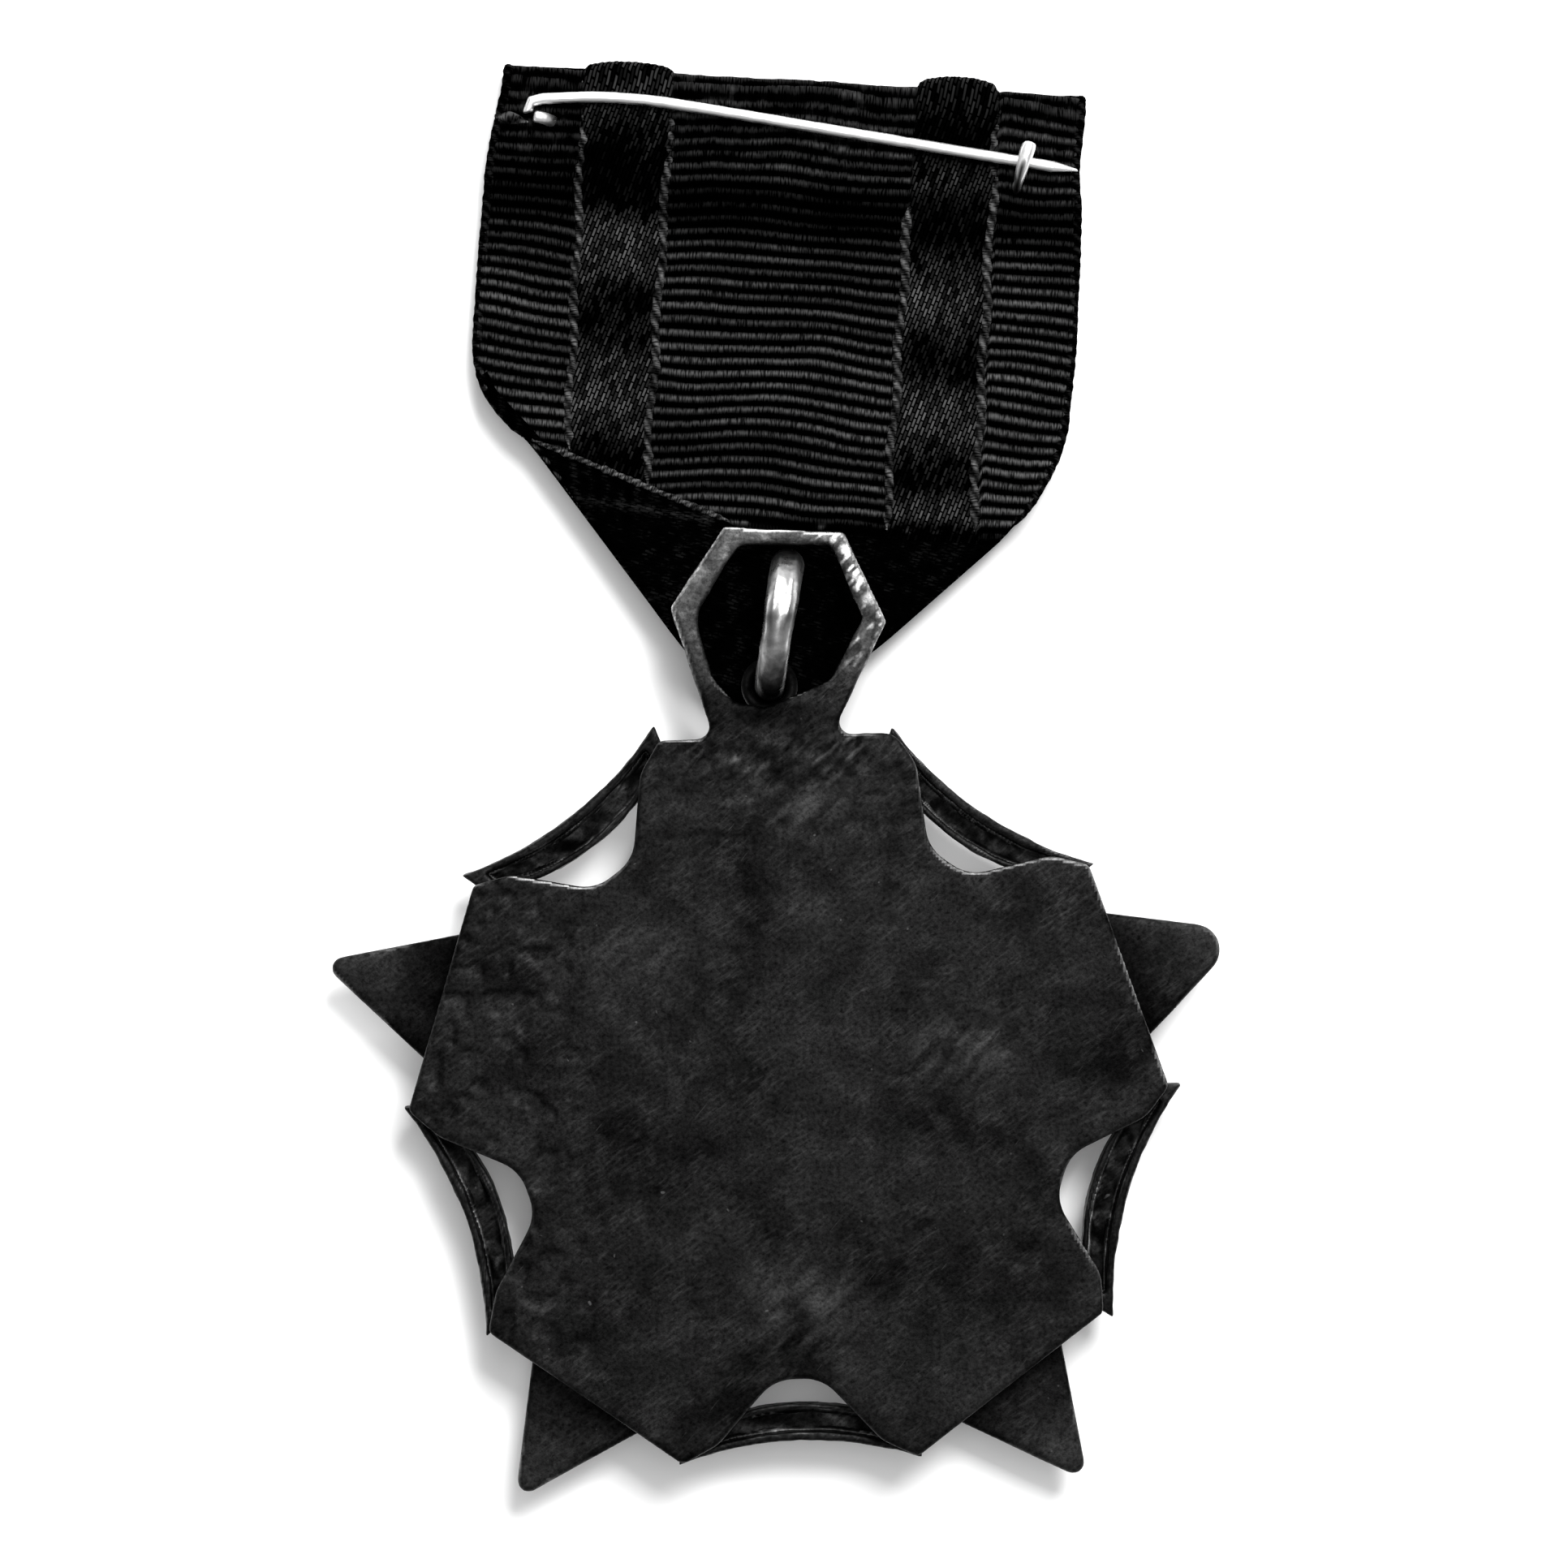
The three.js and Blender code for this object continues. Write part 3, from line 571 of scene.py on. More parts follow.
def ribs(x, s, seed):
    """Relief and lightness of the ribbed bands: the ribs arch across the middle and slope at the sides; the
    gaps between them are painted dark as shade and their crests lighter.
    """
    left_band = 1 - smoothstep(*LEFT_BAND, x)
    right_band = smoothstep(*RIGHT_BAND, x)
    centre_band = 1 - left_band - right_band
    down = np.clip(s / STRIPE_SPAN, 0, 1)
    waviness = RIB_WAVES * np.sin(0.55 * x + 0.35 * s + 1) + RIB_WANDER * flat_noise(x, s, 2.6, seed)
    arch = centre_band * (RIB_ARCH[0] + RIB_ARCH[1] * down) * np.cos(0.19 * (x + 1.5))
    left_slope = -left_band * (LEFT_SLOPE[0] + LEFT_SLOPE[1] * down) * (x + BAND_MIDDLE)
    slope = left_slope - right_band * RIGHT_SLOPE * (x - BAND_MIDDLE)
    rib = (s + arch + slope + waviness) / RIB_PITCH
    across = np.abs(rib % 1 - 0.5) * 2
    ridge = np.sqrt(np.clip(1 - (across / RIB_SHARE) ** 2, 0, 1))
    number = np.floor(rib).astype(np.int64)
    band_number = np.round(left_band - right_band).astype(np.int64)
    own_light = 1 + RIB_OWN_LIGHT * hashed(number, band_number, 0, seed)

    hem_shade = (0.25 * left_band + 0.1 * right_band) * (1 - smoothstep(4.5, 9, s))
    strength = np.interp(s, RIB_STRENGTH_AT, RIB_STRENGTH) * (1 - hem_shade)
    fuzz = np.maximum(flat_noise(x, s, FUZZ_SIZE, seed + 6) + 0.4, 0) * (1 - smoothstep(3.5, 5.5, s))
    cloudy = 0.54 + 0.12 * flat_noise(x, s, 3, seed + 1)
    # painted shade: the gaps between the ribs near black, the crests lighter
    light = (0.03 + 0.97 * ridge**1.6 * own_light) * strength * cloudy
    light = light * (1 + 0.18 * right_band) + FUZZ_LIGHT * fuzz
    height = RIB_HEIGHT * ridge * (0.55 + 0.45 * strength) + FUZZ_HEIGHT * fuzz
    return height, light


def satin_wave(wave, s, lean):
    crest, pitch = wave
    return np.cos(2 * np.pi * (s - crest) / pitch + lean)


def satin_stripes(x, s, seed, left_satin, right_satin):
    """Relief and lightness of the satin: long soft waves, swelling up where the strip turns over the fold;
    the waves' crests are painted lighter, a painted sheen.
    """
    lean = 0.35 * np.sin(0.5 * x)
    wave = left_satin * satin_wave(LEFT_WAVE, s, lean) + right_satin * satin_wave(RIGHT_WAVE, s, -lean)
    top_bulge = np.exp(-(((s + 1.6) / 2.1) ** 2))
    left_dome = LEFT_SWELL * left_satin * half_round(LEFT_SATIN, x, s)
    right_dome = RIGHT_SWELL * right_satin * half_round(RIGHT_SATIN, x, s)
    stitches = 0.07 * (x / SATIN_STITCH % 1)
    strength = np.interp(s, SATIN_STRENGTH_AT, SATIN_STRENGTH)
    cloudy = 0.14 * flat_noise(x, s, 1.8, seed + 2)
    # the wave crests are painted lighter: painted sheen
    light = strength * np.clip(0.46 + SATIN_WAVE_SHEEN * wave + cloudy, 0.06, 1)
    height = 0.16 + SATIN_WAVE_HEIGHT * wave + (left_dome + right_dome + stitches) * top_bulge
    return height, light


def weave(x, s, seed):
    """Relief, lightness and share of satin of the cloth at x, a distance s down from the top fold."""
    left_satin = in_stripe(LEFT_SATIN, x, s)
    right_satin = in_stripe(RIGHT_SATIN, x, s)
    satin = left_satin + right_satin
    rib_height, rib_light = ribs(x, s, seed)
    satin_height, satin_light = satin_stripes(x, s, seed, left_satin, right_satin)
    height = rib_height * (1 - satin) + satin_height * satin
    light = rib_light * (1 - satin) + satin_light * satin
    return height, light, satin


def fold_profile(s):
    """The back strip's y, z and outward normal (in y and z), a distance s past the fold's crest."""
    angle = np.clip(np.pi / 2 + s / FOLD_RADIUS, -np.pi / 2, np.pi / 2)
    under = np.minimum(s + np.pi * FOLD_RADIUS, 0)
    over = np.maximum(s, 0)
    y = -FOLD_RADIUS + FOLD_REACH * np.cos(angle) - over + under
    drop = smoothstep(HEM_END, HEM_END + HEM_RUN_OUT, -y) * (s > 0)
    z = FRONT_Z + FOLD_RADIUS * (1 + np.sin(angle)) - (HEM_Z - PANEL_Z) * drop
    return y, z, np.cos(angle), np.sin(angle)


def cloth_sheet(name, points, flat_uv, light, satin, plain):
    """A sheet from a grid of points (rows, columns, 3), and the area of the same grid without its relief."""
    rows, columns = points.shape[:2]
    values = {"tone": light, "satin": satin}
    faces = grid_faces(rows, columns)
    obj = new_mesh(name, points.reshape(-1, 3), faces, RIBBON, values, flat_uv.reshape(-1, 2))
    obj.data.materials.append(CLOTH)
    return obj, grid_area(plain) * MM * MM


def bend(obj):
    """Bakes the placement of a piece of cloth into its mesh."""
    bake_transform(obj)


def back_strip():
    """The top fold, the hem and the back panel, down to its turned lower edge."""
    first = -np.pi * FOLD_RADIUS - 1.2
    last = -BACK_END - FOLD_RADIUS
    rows, columns = BACK_GRID
    s = np.linspace(first, last, rows)[:, None]
    u = np.linspace(0, 1, columns)[None, :]
    y, z, out_y, out_z = fold_profile(s)
    left, right = outline_at(y)
    x = left + SELVEDGE + (right - left - 2 * SELVEDGE) * u
    s_grid = np.broadcast_to(s, x.shape)
    height, light, satin = weave(x, s_grid, 3)
    height = height * smoothstep(first, first + 1.5, s)
    turned_edge = smoothstep(last - 0.9, last, s)
    height = height * (1 - turned_edge) - 0.25 * turned_edge**2
    # darker towards the turned lower edge, with a painted glint just along it
    light = light * (1 - 0.75 * smoothstep(last - 1.6, last - 0.5, s))
    edge_glint = 0.7 * np.exp(-(((s - last + 0.45) / 0.16) ** 2))
    light = light + edge_glint * smoothstep(0.1, 0.5, flat_noise(x, s_grid, 0.8, 7))
    sag = 0.12 * flat_noise(x, s_grid, 7, 5) * smoothstep(6, 10, s)
    room = UNDER_NEEDLE + 1.5 * (1 - smoothstep(-1.6, -0.4, s))  # round the fold it may swell further
    rise = np.minimum(height + sag, room)
    plain = np.stack([x, np.broadcast_to(y, x.shape), np.broadcast_to(z, x.shape)], axis=-1)
    points = np.stack([x, y + out_y * rise, z + out_z * rise], axis=-1)
    return cloth_sheet("ribbon_back_strip", points, np.stack([x, s_grid], axis=-1), light, satin, plain)


def front_strip():
    """The front panel, from the top fold to the point, against the surface."""
    rows, columns = FRONT_GRID
    y = np.linspace(-1.9, TIP_Y + 0.5, rows)[:, None]
    u = np.linspace(0, 1, columns)[None, :]
    left, right = outline_at(y)
    x = left + SELVEDGE + (right - left - 2 * SELVEDGE) * u
    y_grid = np.broadcast_to(y, x.shape)
    height, light, satin = weave(x, FRONT_START - y_grid, 11)
    above_floor = np.maximum(FRONT_Z + y_grid * math.sin(RIBBON_TILT) - 0.03, 0)
    rise = np.minimum(height, above_floor * 0.9)
    plain = np.stack([x, y_grid, np.full(x.shape, FRONT_Z + 0.02)], axis=-1)
    points = plain - np.stack([0 * x, 0 * x, rise], axis=-1)
    points = points[:, ::-1]
    flat_uv = np.stack([x, -y_grid], axis=-1)[:, ::-1]
    return cloth_sheet("ribbon_front_strip", points, flat_uv, light[:, ::-1], satin[:, ::-1], plain)


def folded_edge(side, x):
    """The folded edge of a corner at x, and the direction out of it at each x."""
    pairs = np.array(LEFT_OUTLINE if side < 0 else RIGHT_OUTLINE)
    pairs = pairs[np.argmax(np.abs(pairs[:, 1])):]  # below the widest place
    order = np.argsort(pairs[:, 1])
    shifted = [np.interp(x + shift, pairs[order, 1], pairs[order, 0]) for shift in (-0.5, 0, 0.5)]
    edge = np.mean(shifted, axis=0)
    out = np.stack([np.gradient(edge, x), np.full(len(x), -1.0)], axis=1)
    return edge, out / np.linalg.norm(out, axis=1, keepdims=True)


def flap_rows(side, top_line, top_z):
    """Rows of points of a folded-in corner, without relief, and how far each row faces up."""
    flat_count, columns = FLAP_GRID
    x = np.linspace(top_line[0][0], top_line[-1][0], columns)
    line_x, line_y = np.array(sorted(top_line)).T
    top = np.interp(x, line_x, line_y)
    edge, out = folded_edge(side, x)
    roll = (top_z - FRONT_Z) / 2
    roll_angles = np.linspace(0, np.pi, ROLL_ROWS)[1:]
    inset = edge + roll / np.maximum(np.abs(out[:, 1]), 0.4)
    length = np.maximum(top - inset, 0.02)
    rows = []
    for t in np.linspace(0, 1, flat_count):
        rows.append(np.stack([x, top - length * t, np.full(columns, top_z)], axis=1))
    for angle in roll_angles:
        reach = roll * math.sin(angle)
        height = top_z - roll * (1 - math.cos(angle))
        outer = np.stack([x + out[:, 0] * reach, inset + out[:, 1] * reach, np.full(columns, height)], axis=1)
        rows.append(outer)
    facing_up = np.concatenate([np.ones(flat_count), np.cos(roll_angles)])[:, None]
    return np.array(rows), facing_up


def flap(name, side, top_line, top_z, seed, crease=None):
    """A folded-in corner, from its upper line to the folded edge and round it to the front."""
    plain, facing_up = flap_rows(side, top_line, top_z)
    gx, gy = plain[..., 0], plain[..., 1]
    ridge = np.cos(2 * np.pi * (gx + 0.12 * gy + 0.3 * flat_noise(gx, gy, 2, seed)) / FLAP_RIDGE)
    upper = smoothstep(-29.5, -26, gy)
    # the faint ribs' crests are painted lighter: painted highlight
    light = 0.13 + 0.05 * ridge * upper + 0.07 * flat_noise(gx, gy, 0.7, seed + 1)
    light = light + 0.05 * flat_noise(gx, gy, 0.3, seed + 2)
    relief = 0.04 * ridge * upper + 0.05 * flat_noise(gx, gy, 0.9, seed + 3)
    relief = relief + 0.1 * flat_noise(gx, gy, 4, seed + 4)
    if crease:
        (ax, ay), (bx, by) = crease
        at = ay + (by - ay) * (gx - ax) / (bx - ax)
        on_line = np.exp(-(((gy - at) / 0.28) ** 2)) * (gx > ax) * (gx < bx)
        relief = relief + 0.1 * on_line
        # the pressed line is painted lighter: a painted highlight on its ridge
        light = light + 0.12 * on_line
    points = plain.copy()
    points[..., 2] += relief * facing_up
    pressed = max(top_z - EYELET_CLEAR, 0) * smoothstep(-33.8, -35.9, gy)
    points[..., 2] -= pressed * (plain[..., 2] - FRONT_Z) / (top_z - FRONT_Z)
    flat_uv = np.stack([gy, gx], axis=-1)
    satin = np.full(gx.shape, 0.35)
    if side > 0:
        points = points[:, ::-1]
        plain = plain[:, ::-1]
        light = light[:, ::-1]
        flat_uv = flat_uv[:, ::-1]
    return cloth_sheet(name, points, flat_uv, np.clip(light, 0.02, 1), satin, plain)


def cord(name, corners, radius, pitch, seed, light=0.6, lumps=0.14, ply=0.14):
    """A two-ply cord woven or turned along an edge of the cloth."""
    route = even_route(corners, CORD_STEP)
    count = len(route)
    along = np.arange(count)[:, None] * CORD_STEP

    def strands(angle):
        """1 on the crests of the two twisted strands, -1 between them."""
        return np.cos(2 * angle - 2 * np.pi * along / pitch)

    def uneven(size, place, noise_seed):
        """Noise along the cord, one value per ring."""
        points = np.stack([along[:, 0], np.full(count, place), 0 * along[:, 0]], axis=1)
        return soft_noise(points, size, noise_seed)[:, None]

    lump = 1 + lumps * uneven(0.45, 0, seed)
    ends = 0.3 + 0.7 * smoothstep(0, CORD_TAPER, np.minimum(along, along[-1] - along))
    rings = swept(route, radius * lump * ends, CORD_SIDES, lambda angle: 1 + ply * strands(angle))
    angle = np.linspace(0, 2 * np.pi, CORD_SIDES, endpoint=False)[None, :]
    # the strands' crests are painted lighter and the grooves between them darker: painted shade between the
    # strands
    crest = 0.5 + 0.5 * strands(angle)
    tone = light * (0.2 + 0.6 * crest) * (1 + 0.5 * uneven(0.5, 3.1, seed + 1))
    faces = capped(grid_faces(count, CORD_SIDES, wrap=True), count, CORD_SIDES)
    around = np.broadcast_to(angle * radius, tone.shape)
    flat_uv = np.stack([np.broadcast_to(along, tone.shape), around], axis=-1)
    values = {"tone": np.clip(tone, 0, 1), "satin": np.zeros(tone.shape)}
    obj = new_mesh(name, rings.reshape(-1, 3), faces, RIBBON, values, flat_uv.reshape(-1, 2))
    obj.data.materials.append(CLOTH)
    bend(obj)
    return obj


def edge_corners(side, top, bottom, z, inset):
    y = np.linspace(top, bottom, 24)
    edge = outline_at(y)[0 if side < 0 else 1]
    return np.stack([edge - side * inset, y, np.full(len(y), z)], axis=1)


def hem_height(y):
    """Height of the cloth's upper face at y below the fold."""
    return HEM_Z - (HEM_Z - PANEL_Z) * smoothstep(HEM_END, HEM_END + HEM_RUN_OUT, -y)


def stripe_cord(name, stripe, edge, start, end, seed):
    """The cord that runs down one edge of a satin stripe."""
    y = np.linspace(start, end, 26)
    x = stripe_edges(stripe, -y)[edge] + 0.12 * np.sin(0.9 * y + seed)
    past = np.maximum(y + FOLD_RADIUS, 0) / FOLD_REACH
    crest = FOLD_RADIUS * np.sqrt(np.clip(1 - past**2, 0, 1))
    z = np.where(y > -FOLD_RADIUS, FRONT_Z + FOLD_RADIUS + crest, hem_height(y)) + 0.16
    z = z - CORD_SINK * smoothstep(-HEM_END - 1, -HEM_END + 0.5, y)
    route = np.stack([x, y, z], axis=1)
    return cord(name, route, STRIPE_CORD_RADIUS, STRIPE_CORD_PITCH, seed, light=0.95, lumps=0.22)


def selvedge_cords():
    """The cords along the strip's edges, on the back and the front panel and over the top fold."""
    cords = []
    for side, word, low in ((-1, "left", -23.0), (1, "right", -27.0)):
        back = edge_corners(side, -FOLD_RADIUS, low, 0, SELVEDGE)
        back[:, 2] = hem_height(back[:, 1]) - 0.05
        turn = np.linspace(-np.pi / 2, np.pi / 2, 9)[:-1]
        over = np.stack([
            np.full(len(turn), back[0, 0]),
            -FOLD_RADIUS + FOLD_REACH * np.cos(turn),
            FRONT_Z + SELVEDGE * 0.6 + (FOLD_RADIUS - SELVEDGE * 0.3) * (1 + np.sin(turn)),
        ], axis=1)
        back = np.concatenate([over, back])
        front = edge_corners(side, -FOLD_RADIUS - 1, low, FRONT_Z + SELVEDGE, SELVEDGE)
        for name, route, radius, seed in (
            (f"back_selvedge_{word}", back, SELVEDGE, 21 + side),
            (f"front_selvedge_{word}", front, SELVEDGE * 0.9, 31 + side),
        ):
            cords.append(cord(name, route, radius, SELVEDGE_PITCH, seed, **SELVEDGE_LOOK))
    return cords


def make_ribbon():
    back, back_area = back_strip()
    front, front_area = front_strip()
    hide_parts("ribbon_back")
    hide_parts("ribbon_front", "ribbon_point")
    left, left_area = flap("left_flap", -1, LEFT_FLAP_LINE, LEFT_FLAP_Z, 41, FLAP_CREASE)
    right, right_area = flap("right_flap", 1, RIGHT_FLAP_LINE, RIGHT_FLAP_Z, 51)
    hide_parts("ribbon_left_fold")
    for sheet in (back, front, left, right):
        bend(sheet)
    stripes = [
        stripe_cord("cord_1", LEFT_SATIN, 0, -0.1, -23.8, 61),
        stripe_cord("cord_2", LEFT_SATIN, 1, 0.1, -25.8, 62),
        stripe_cord("cord_3", RIGHT_SATIN, 0, -7.2, -27.8, 63),
        stripe_cord("cord_4", RIGHT_SATIN, 1, 0.0, -27.6, 64),
    ]
    selvedges = selvedge_cords()
    stitch = cord("hem_stitch", STITCH_ROUTE, STITCH_RADIUS, 1.4, 65, light=1.0, lumps=0.2, ply=0.05)
    line = np.array([(x, y, LEFT_FLAP_Z + 0.12) for x, y in LEFT_FLAP_LINE[2:-1]])
    line[:, 1] += 0.1
    flap_cord = cord("left_flap_selvedge", line, 0.18, 0.55, 71, light=1.2, lumps=0.3)


# ---------------------------------------------------------------- metal


def remeshed(node, name, voxel, smoothing):
    """A fine, rounded copy of a CAD node, in millimetres: the object, its points and their normals."""
    mesh = frame["nodes"][node].data.copy()
    mesh.transform(Matrix.Scale(1 / MM, 4))
    obj = bpy.data.objects.new(name, mesh)
    bpy.context.scene.collection.objects.link(obj)
    remesh = obj.modifiers.new("remesh", "REMESH")
    remesh.mode = "VOXEL"
    remesh.voxel_size = voxel
    smooth = obj.modifiers.new("smooth", "SMOOTH")
    smooth.factor = 0.5
    smooth.iterations = smoothing
    graph = bpy.context.evaluated_depsgraph_get()
    fine = bpy.data.meshes.new_from_object(obj.evaluated_get(graph))
    obj.modifiers.clear()
    obj.data = fine
    fine.name = name
    fine.materials.clear()
    points = np.empty(len(fine.vertices) * 3)
    fine.vertices.foreach_get("co", points)
    normals = np.empty(len(fine.vertices) * 3)
    fine.vertices.foreach_get("normal", normals)
    return obj, points.reshape(-1, 3), normals.reshape(-1, 3)


def settle(obj, points, wear_and_painted_light, material, body, slot, *nodes):
    """Gives a remeshed piece its final points, its per-point wear and painted light, and its material, and
    joins it to its body.
    """
    obj.data.vertices.foreach_set("co", (points * MM).astype(np.float32).ravel())
    layer = obj.data.attributes.new("wear_and_painted_light", "FLOAT", "POINT")
    layer.data.foreach_set("value", np.clip(wear_and_painted_light, -1, 1).astype(np.float32))
    obj.data.update()
    obj.data.shade_smooth()
    obj.data.materials.append(material)
    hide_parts(*nodes)
    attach(obj, body)


def layered(points, *layers):
    """The sum of soft noises, each given as height, size and seed."""
    return sum(height * soft_noise(points, size, seed) for height, size, seed in layers)


def rounded_edges(facing):
    """1 on the rounded edges of a flat face, 0 on the face and its walls; facing is 1 on the face."""
    return np.clip(1 - np.abs(facing - EDGE_FACING) / EDGE_SPREAD, 0, 1)


def in_badge(points):
    """Points of the scene, in millimetres, in the badge's own frame (x and y)."""
    low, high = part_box("centre_boss")
    centre = np.array((low + high) / 2) / MM
    x = points[:, 0] - centre[0]
    y = points[:, 1] - centre[1]
    cos, sin = math.cos(BADGE_TURN), math.sin(BADGE_TURN)
    return np.stack([x * cos + y * sin, y * cos - x * sin], axis=1)


def in_ribbon(points):
    """Points of the scene, in millimetres, in the ribbon's own frame."""
    place = np.array(RIBBON.inverted())
    return points * MM @ place[:3, :3].T + place[:3, 3]


def blob(places, x, y, reach_across, reach_up):
    """1 at one place in plan, fading to 0 around it."""
    across = (places[:, 0] - x) / reach_across
    upward = (places[:, 1] - y) / reach_up
    return np.exp(-(across**2) - upward**2)


def plate_rise(points, local, up, loop, neck, filed):
    """How far the plate's surface stands out: dents, the lump of solder on the neck, pits at its edges."""
    dents = layered(points, *PLATE_DENTS) + 0.03 * soft_noise(points, 1.1, 96) * loop
    solder = neck * (0.26 + 0.22 * soft_noise(points, 1.1, 85) + 0.1 * filed)
    pitted = smoothstep(-11, -15, local[:, 0]) + 0.5 * smoothstep(14, 17, local[:, 1]) + 0.1
    pits = -0.09 * pitted * smoothstep(0.1, 0.6, soft_noise(points, 0.9, 94))
    return (dents + solder + pits) * np.clip(up, 0, 1) + 0.05 * soft_noise(points, 0.9, 86) * loop


def loop_wear_and_highlight(points, normals, away, turned, edges, patchy):
    """How bright the loop is: worn, with painted highlight where the light falls; most at its upper right and
    along its edges.
    """
    # brighter towards the top and right: painted highlight where the light falls, on top of real wear flecks
    high = smoothstep(-5, 3, away[:, 1])
    right = smoothstep(1, 5, away[:, 0])
    mottle = np.maximum(soft_noise(points, 0.7, 88) + soft_noise(points, 0.35, 89) * 0.8, 0)
    flat = 0.01 + 0.05 * high + 0.26 * mottle * high * (0.4 + right) + 0.05 * (patchy - 0.5)
    flecks = right * high * smoothstep(0.25, 0.6, soft_noise(turned, FLECKS, 95)) * 0.75
    outward = np.sum(normals[:, :2] * away, axis=1) / np.linalg.norm(away, axis=1)
    outer_edge = smoothstep(0, 0.4, outward) * (0.1 + 1.6 * high)
    low = smoothstep(-2, -5, away[:, 1])
    inner_edge = smoothstep(0, 0.4, -outward) * (0.15 + 0.45 * right + 0.5 * low)
    return flat + flecks + edges * (outer_edge + inner_edge * smoothstep(0.3, 0.6, patchy))


def make_back_plate():
    """The plate, its neck and the six-sided loop: hammered, soldered at the neck, worn bright on the loop,
    with painted highlight on the loop and on lit edges and painted shade on the neck under the ring.
    """
    obj, points, normals = remeshed("back_plate", "plate_and_loop", *FINE["back_plate"])
    local = in_badge(points)
    away = local - np.array(LOOP_CENTRE)
    loop = smoothstep(NECK_Y + 1.5, NECK_Y + 4, local[:, 1])
    neck = blob(local, *NECK_PLACE)
    turned = np.stack([points[:, 0] + points[:, 1], points[:, 1] - points[:, 0], points[:, 2]], axis=1)
    filed = soft_noise(turned, FILE_MARKS, 84) + 0.5 * soft_noise(turned, FINE_FILE_MARKS, 90)
    points = points + normals * plate_rise(points, local, normals[:, 2], loop, neck, filed)[:, None]

    edges = rounded_edges(normals[:, 2])
    patchy = 0.5 + 0.5 * soft_noise(points, 2.2, 87)
    # edges facing the light are painted brighter: painted highlight on top of real wear
    lit_side = smoothstep(-0.2, 0.7, normals[:, 0] * 0.5 + normals[:, 1] * 0.85)
    edge_wear_and_highlight = edges * (0.05 + 0.6 * lit_side) * smoothstep(0.2, 0.6, patchy) * (1 - loop)
    rasped = neck * np.maximum(filed * patchy, 0) * 0.09
    # painted shade on the neck under the ring's lower end
    shade_under_ring = blob(away, *SHADE_UNDER_RING_PLACE)
    scuffed = np.maximum(0.35 + soft_noise(turned, SCUFFS, 97), 0)
    rubbed = sum(blob(local, x, y, radius, RUBBED_SQUASH * radius) for x, y, radius in RUBBED)
    on_loop = loop * loop_wear_and_highlight(points, normals, away, turned, edges, patchy)
    wear_and_painted_light = edge_wear_and_highlight + on_loop + rasped + 0.035 * rubbed * scuffed - 0.9 * shade_under_ring
    settle(obj, points, wear_and_painted_light, PATINA, "badge", "patina", "back_plate")


def make_star():
    """The star's sheet under the plate, with painted shade beside the plate, so it is darker there than at
    its points.
    """
    obj, points, normals = remeshed("star", "star_sheet", *FINE["star"])
    rise = layered(points, *STAR_DENTS)
    points = points + normals * (rise * np.abs(normals[:, 2]))[:, None]
    wear_and_painted_light = rounded_edges(normals[:, 2]) * (0.06 + 0.3 * smoothstep(0.1, 0.7, soft_noise(points, 2.5, 93)))
    from_centre = np.linalg.norm(in_badge(points), axis=1)
    # painted shade on the sheet beside the plate, where the plate's shade falls
    wear_and_painted_light = wear_and_painted_light - 0.65 * (1 - smoothstep(22.5, 26, from_centre)) + 0.01 * smoothstep(25, 29, from_centre)
    settle(obj, points, wear_and_painted_light, PATINA, "badge", "patina", "star")


def make_struts():
    """The struts between the arms, with a rough floor in their hollow backs."""
    for number in range(1, 6):
        node = f"strut_{number}"
        obj, points, normals = remeshed(node, f"hollow_{node}", *FINE["strut"])
        rise = layered(points, (0.06, 1.5, 100 + number), (0.03, 0.6, 110 + number))
        floor = smoothstep(5.0, 4.6, points[:, 2]) * smoothstep(0.5, 0.9, normals[:, 2])
        rise += floor * (0.3 * soft_noise(points, 0.9, 130 + number) + 0.25)
        points = points + normals * rise[:, None]
        patchy = soft_noise(points, 1.4, 120 + number)
        wear_and_painted_light = rounded_edges(normals[:, 2]) * (0.05 + 0.2 * smoothstep(0, 0.8, patchy))
        settle(obj, points, wear_and_painted_light, PATINA, "badge", "patina", node)


def make_front_pieces():
    """The disc, its rim and the boss, on the side that faces the surface."""
    for seed, node in enumerate(("medallion_disc", "medallion_rim", "centre_boss")):
        obj, points, normals = remeshed(node, f"{node}_worn", *FINE[node])
        rise = 0.03 * soft_noise(points, 2.5, 130 + seed)
        rise *= 1 - smoothstep(0.3, 0.05, points[:, 2])
        points = points + normals * rise[:, None]
        settle(obj, points, rounded_edges(-normals[:, 2]) * 0.3, PATINA, "badge", "patina", node)


def make_eyelet():
    obj, points, normals = remeshed("ring_eyelet", "eyelet", *FINE["ring_eyelet"])
    points = points + normals * (0.02 * soft_noise(points, 0.5, 141))[:, None]
    # the eyelet is painted near black as shade
    settle(obj, points, np.ones(len(points)), SHADE_DARK_WIRE, "badge", "patina", "ring_eyelet")


def ring_axis():
    """The ring's own axis, level and square to the plane the ring stands in: its box's thin way."""
    ring = frame["nodes"]["suspension_ring"].data
    points = np.array([corner.co for corner in ring.vertices])[:, :2]
    spread = np.cov((points - points.mean(axis=0)).T)
    thin = np.linalg.eigh(spread)[1][:, 0]
    return np.array([thin[0], thin[1], 0])


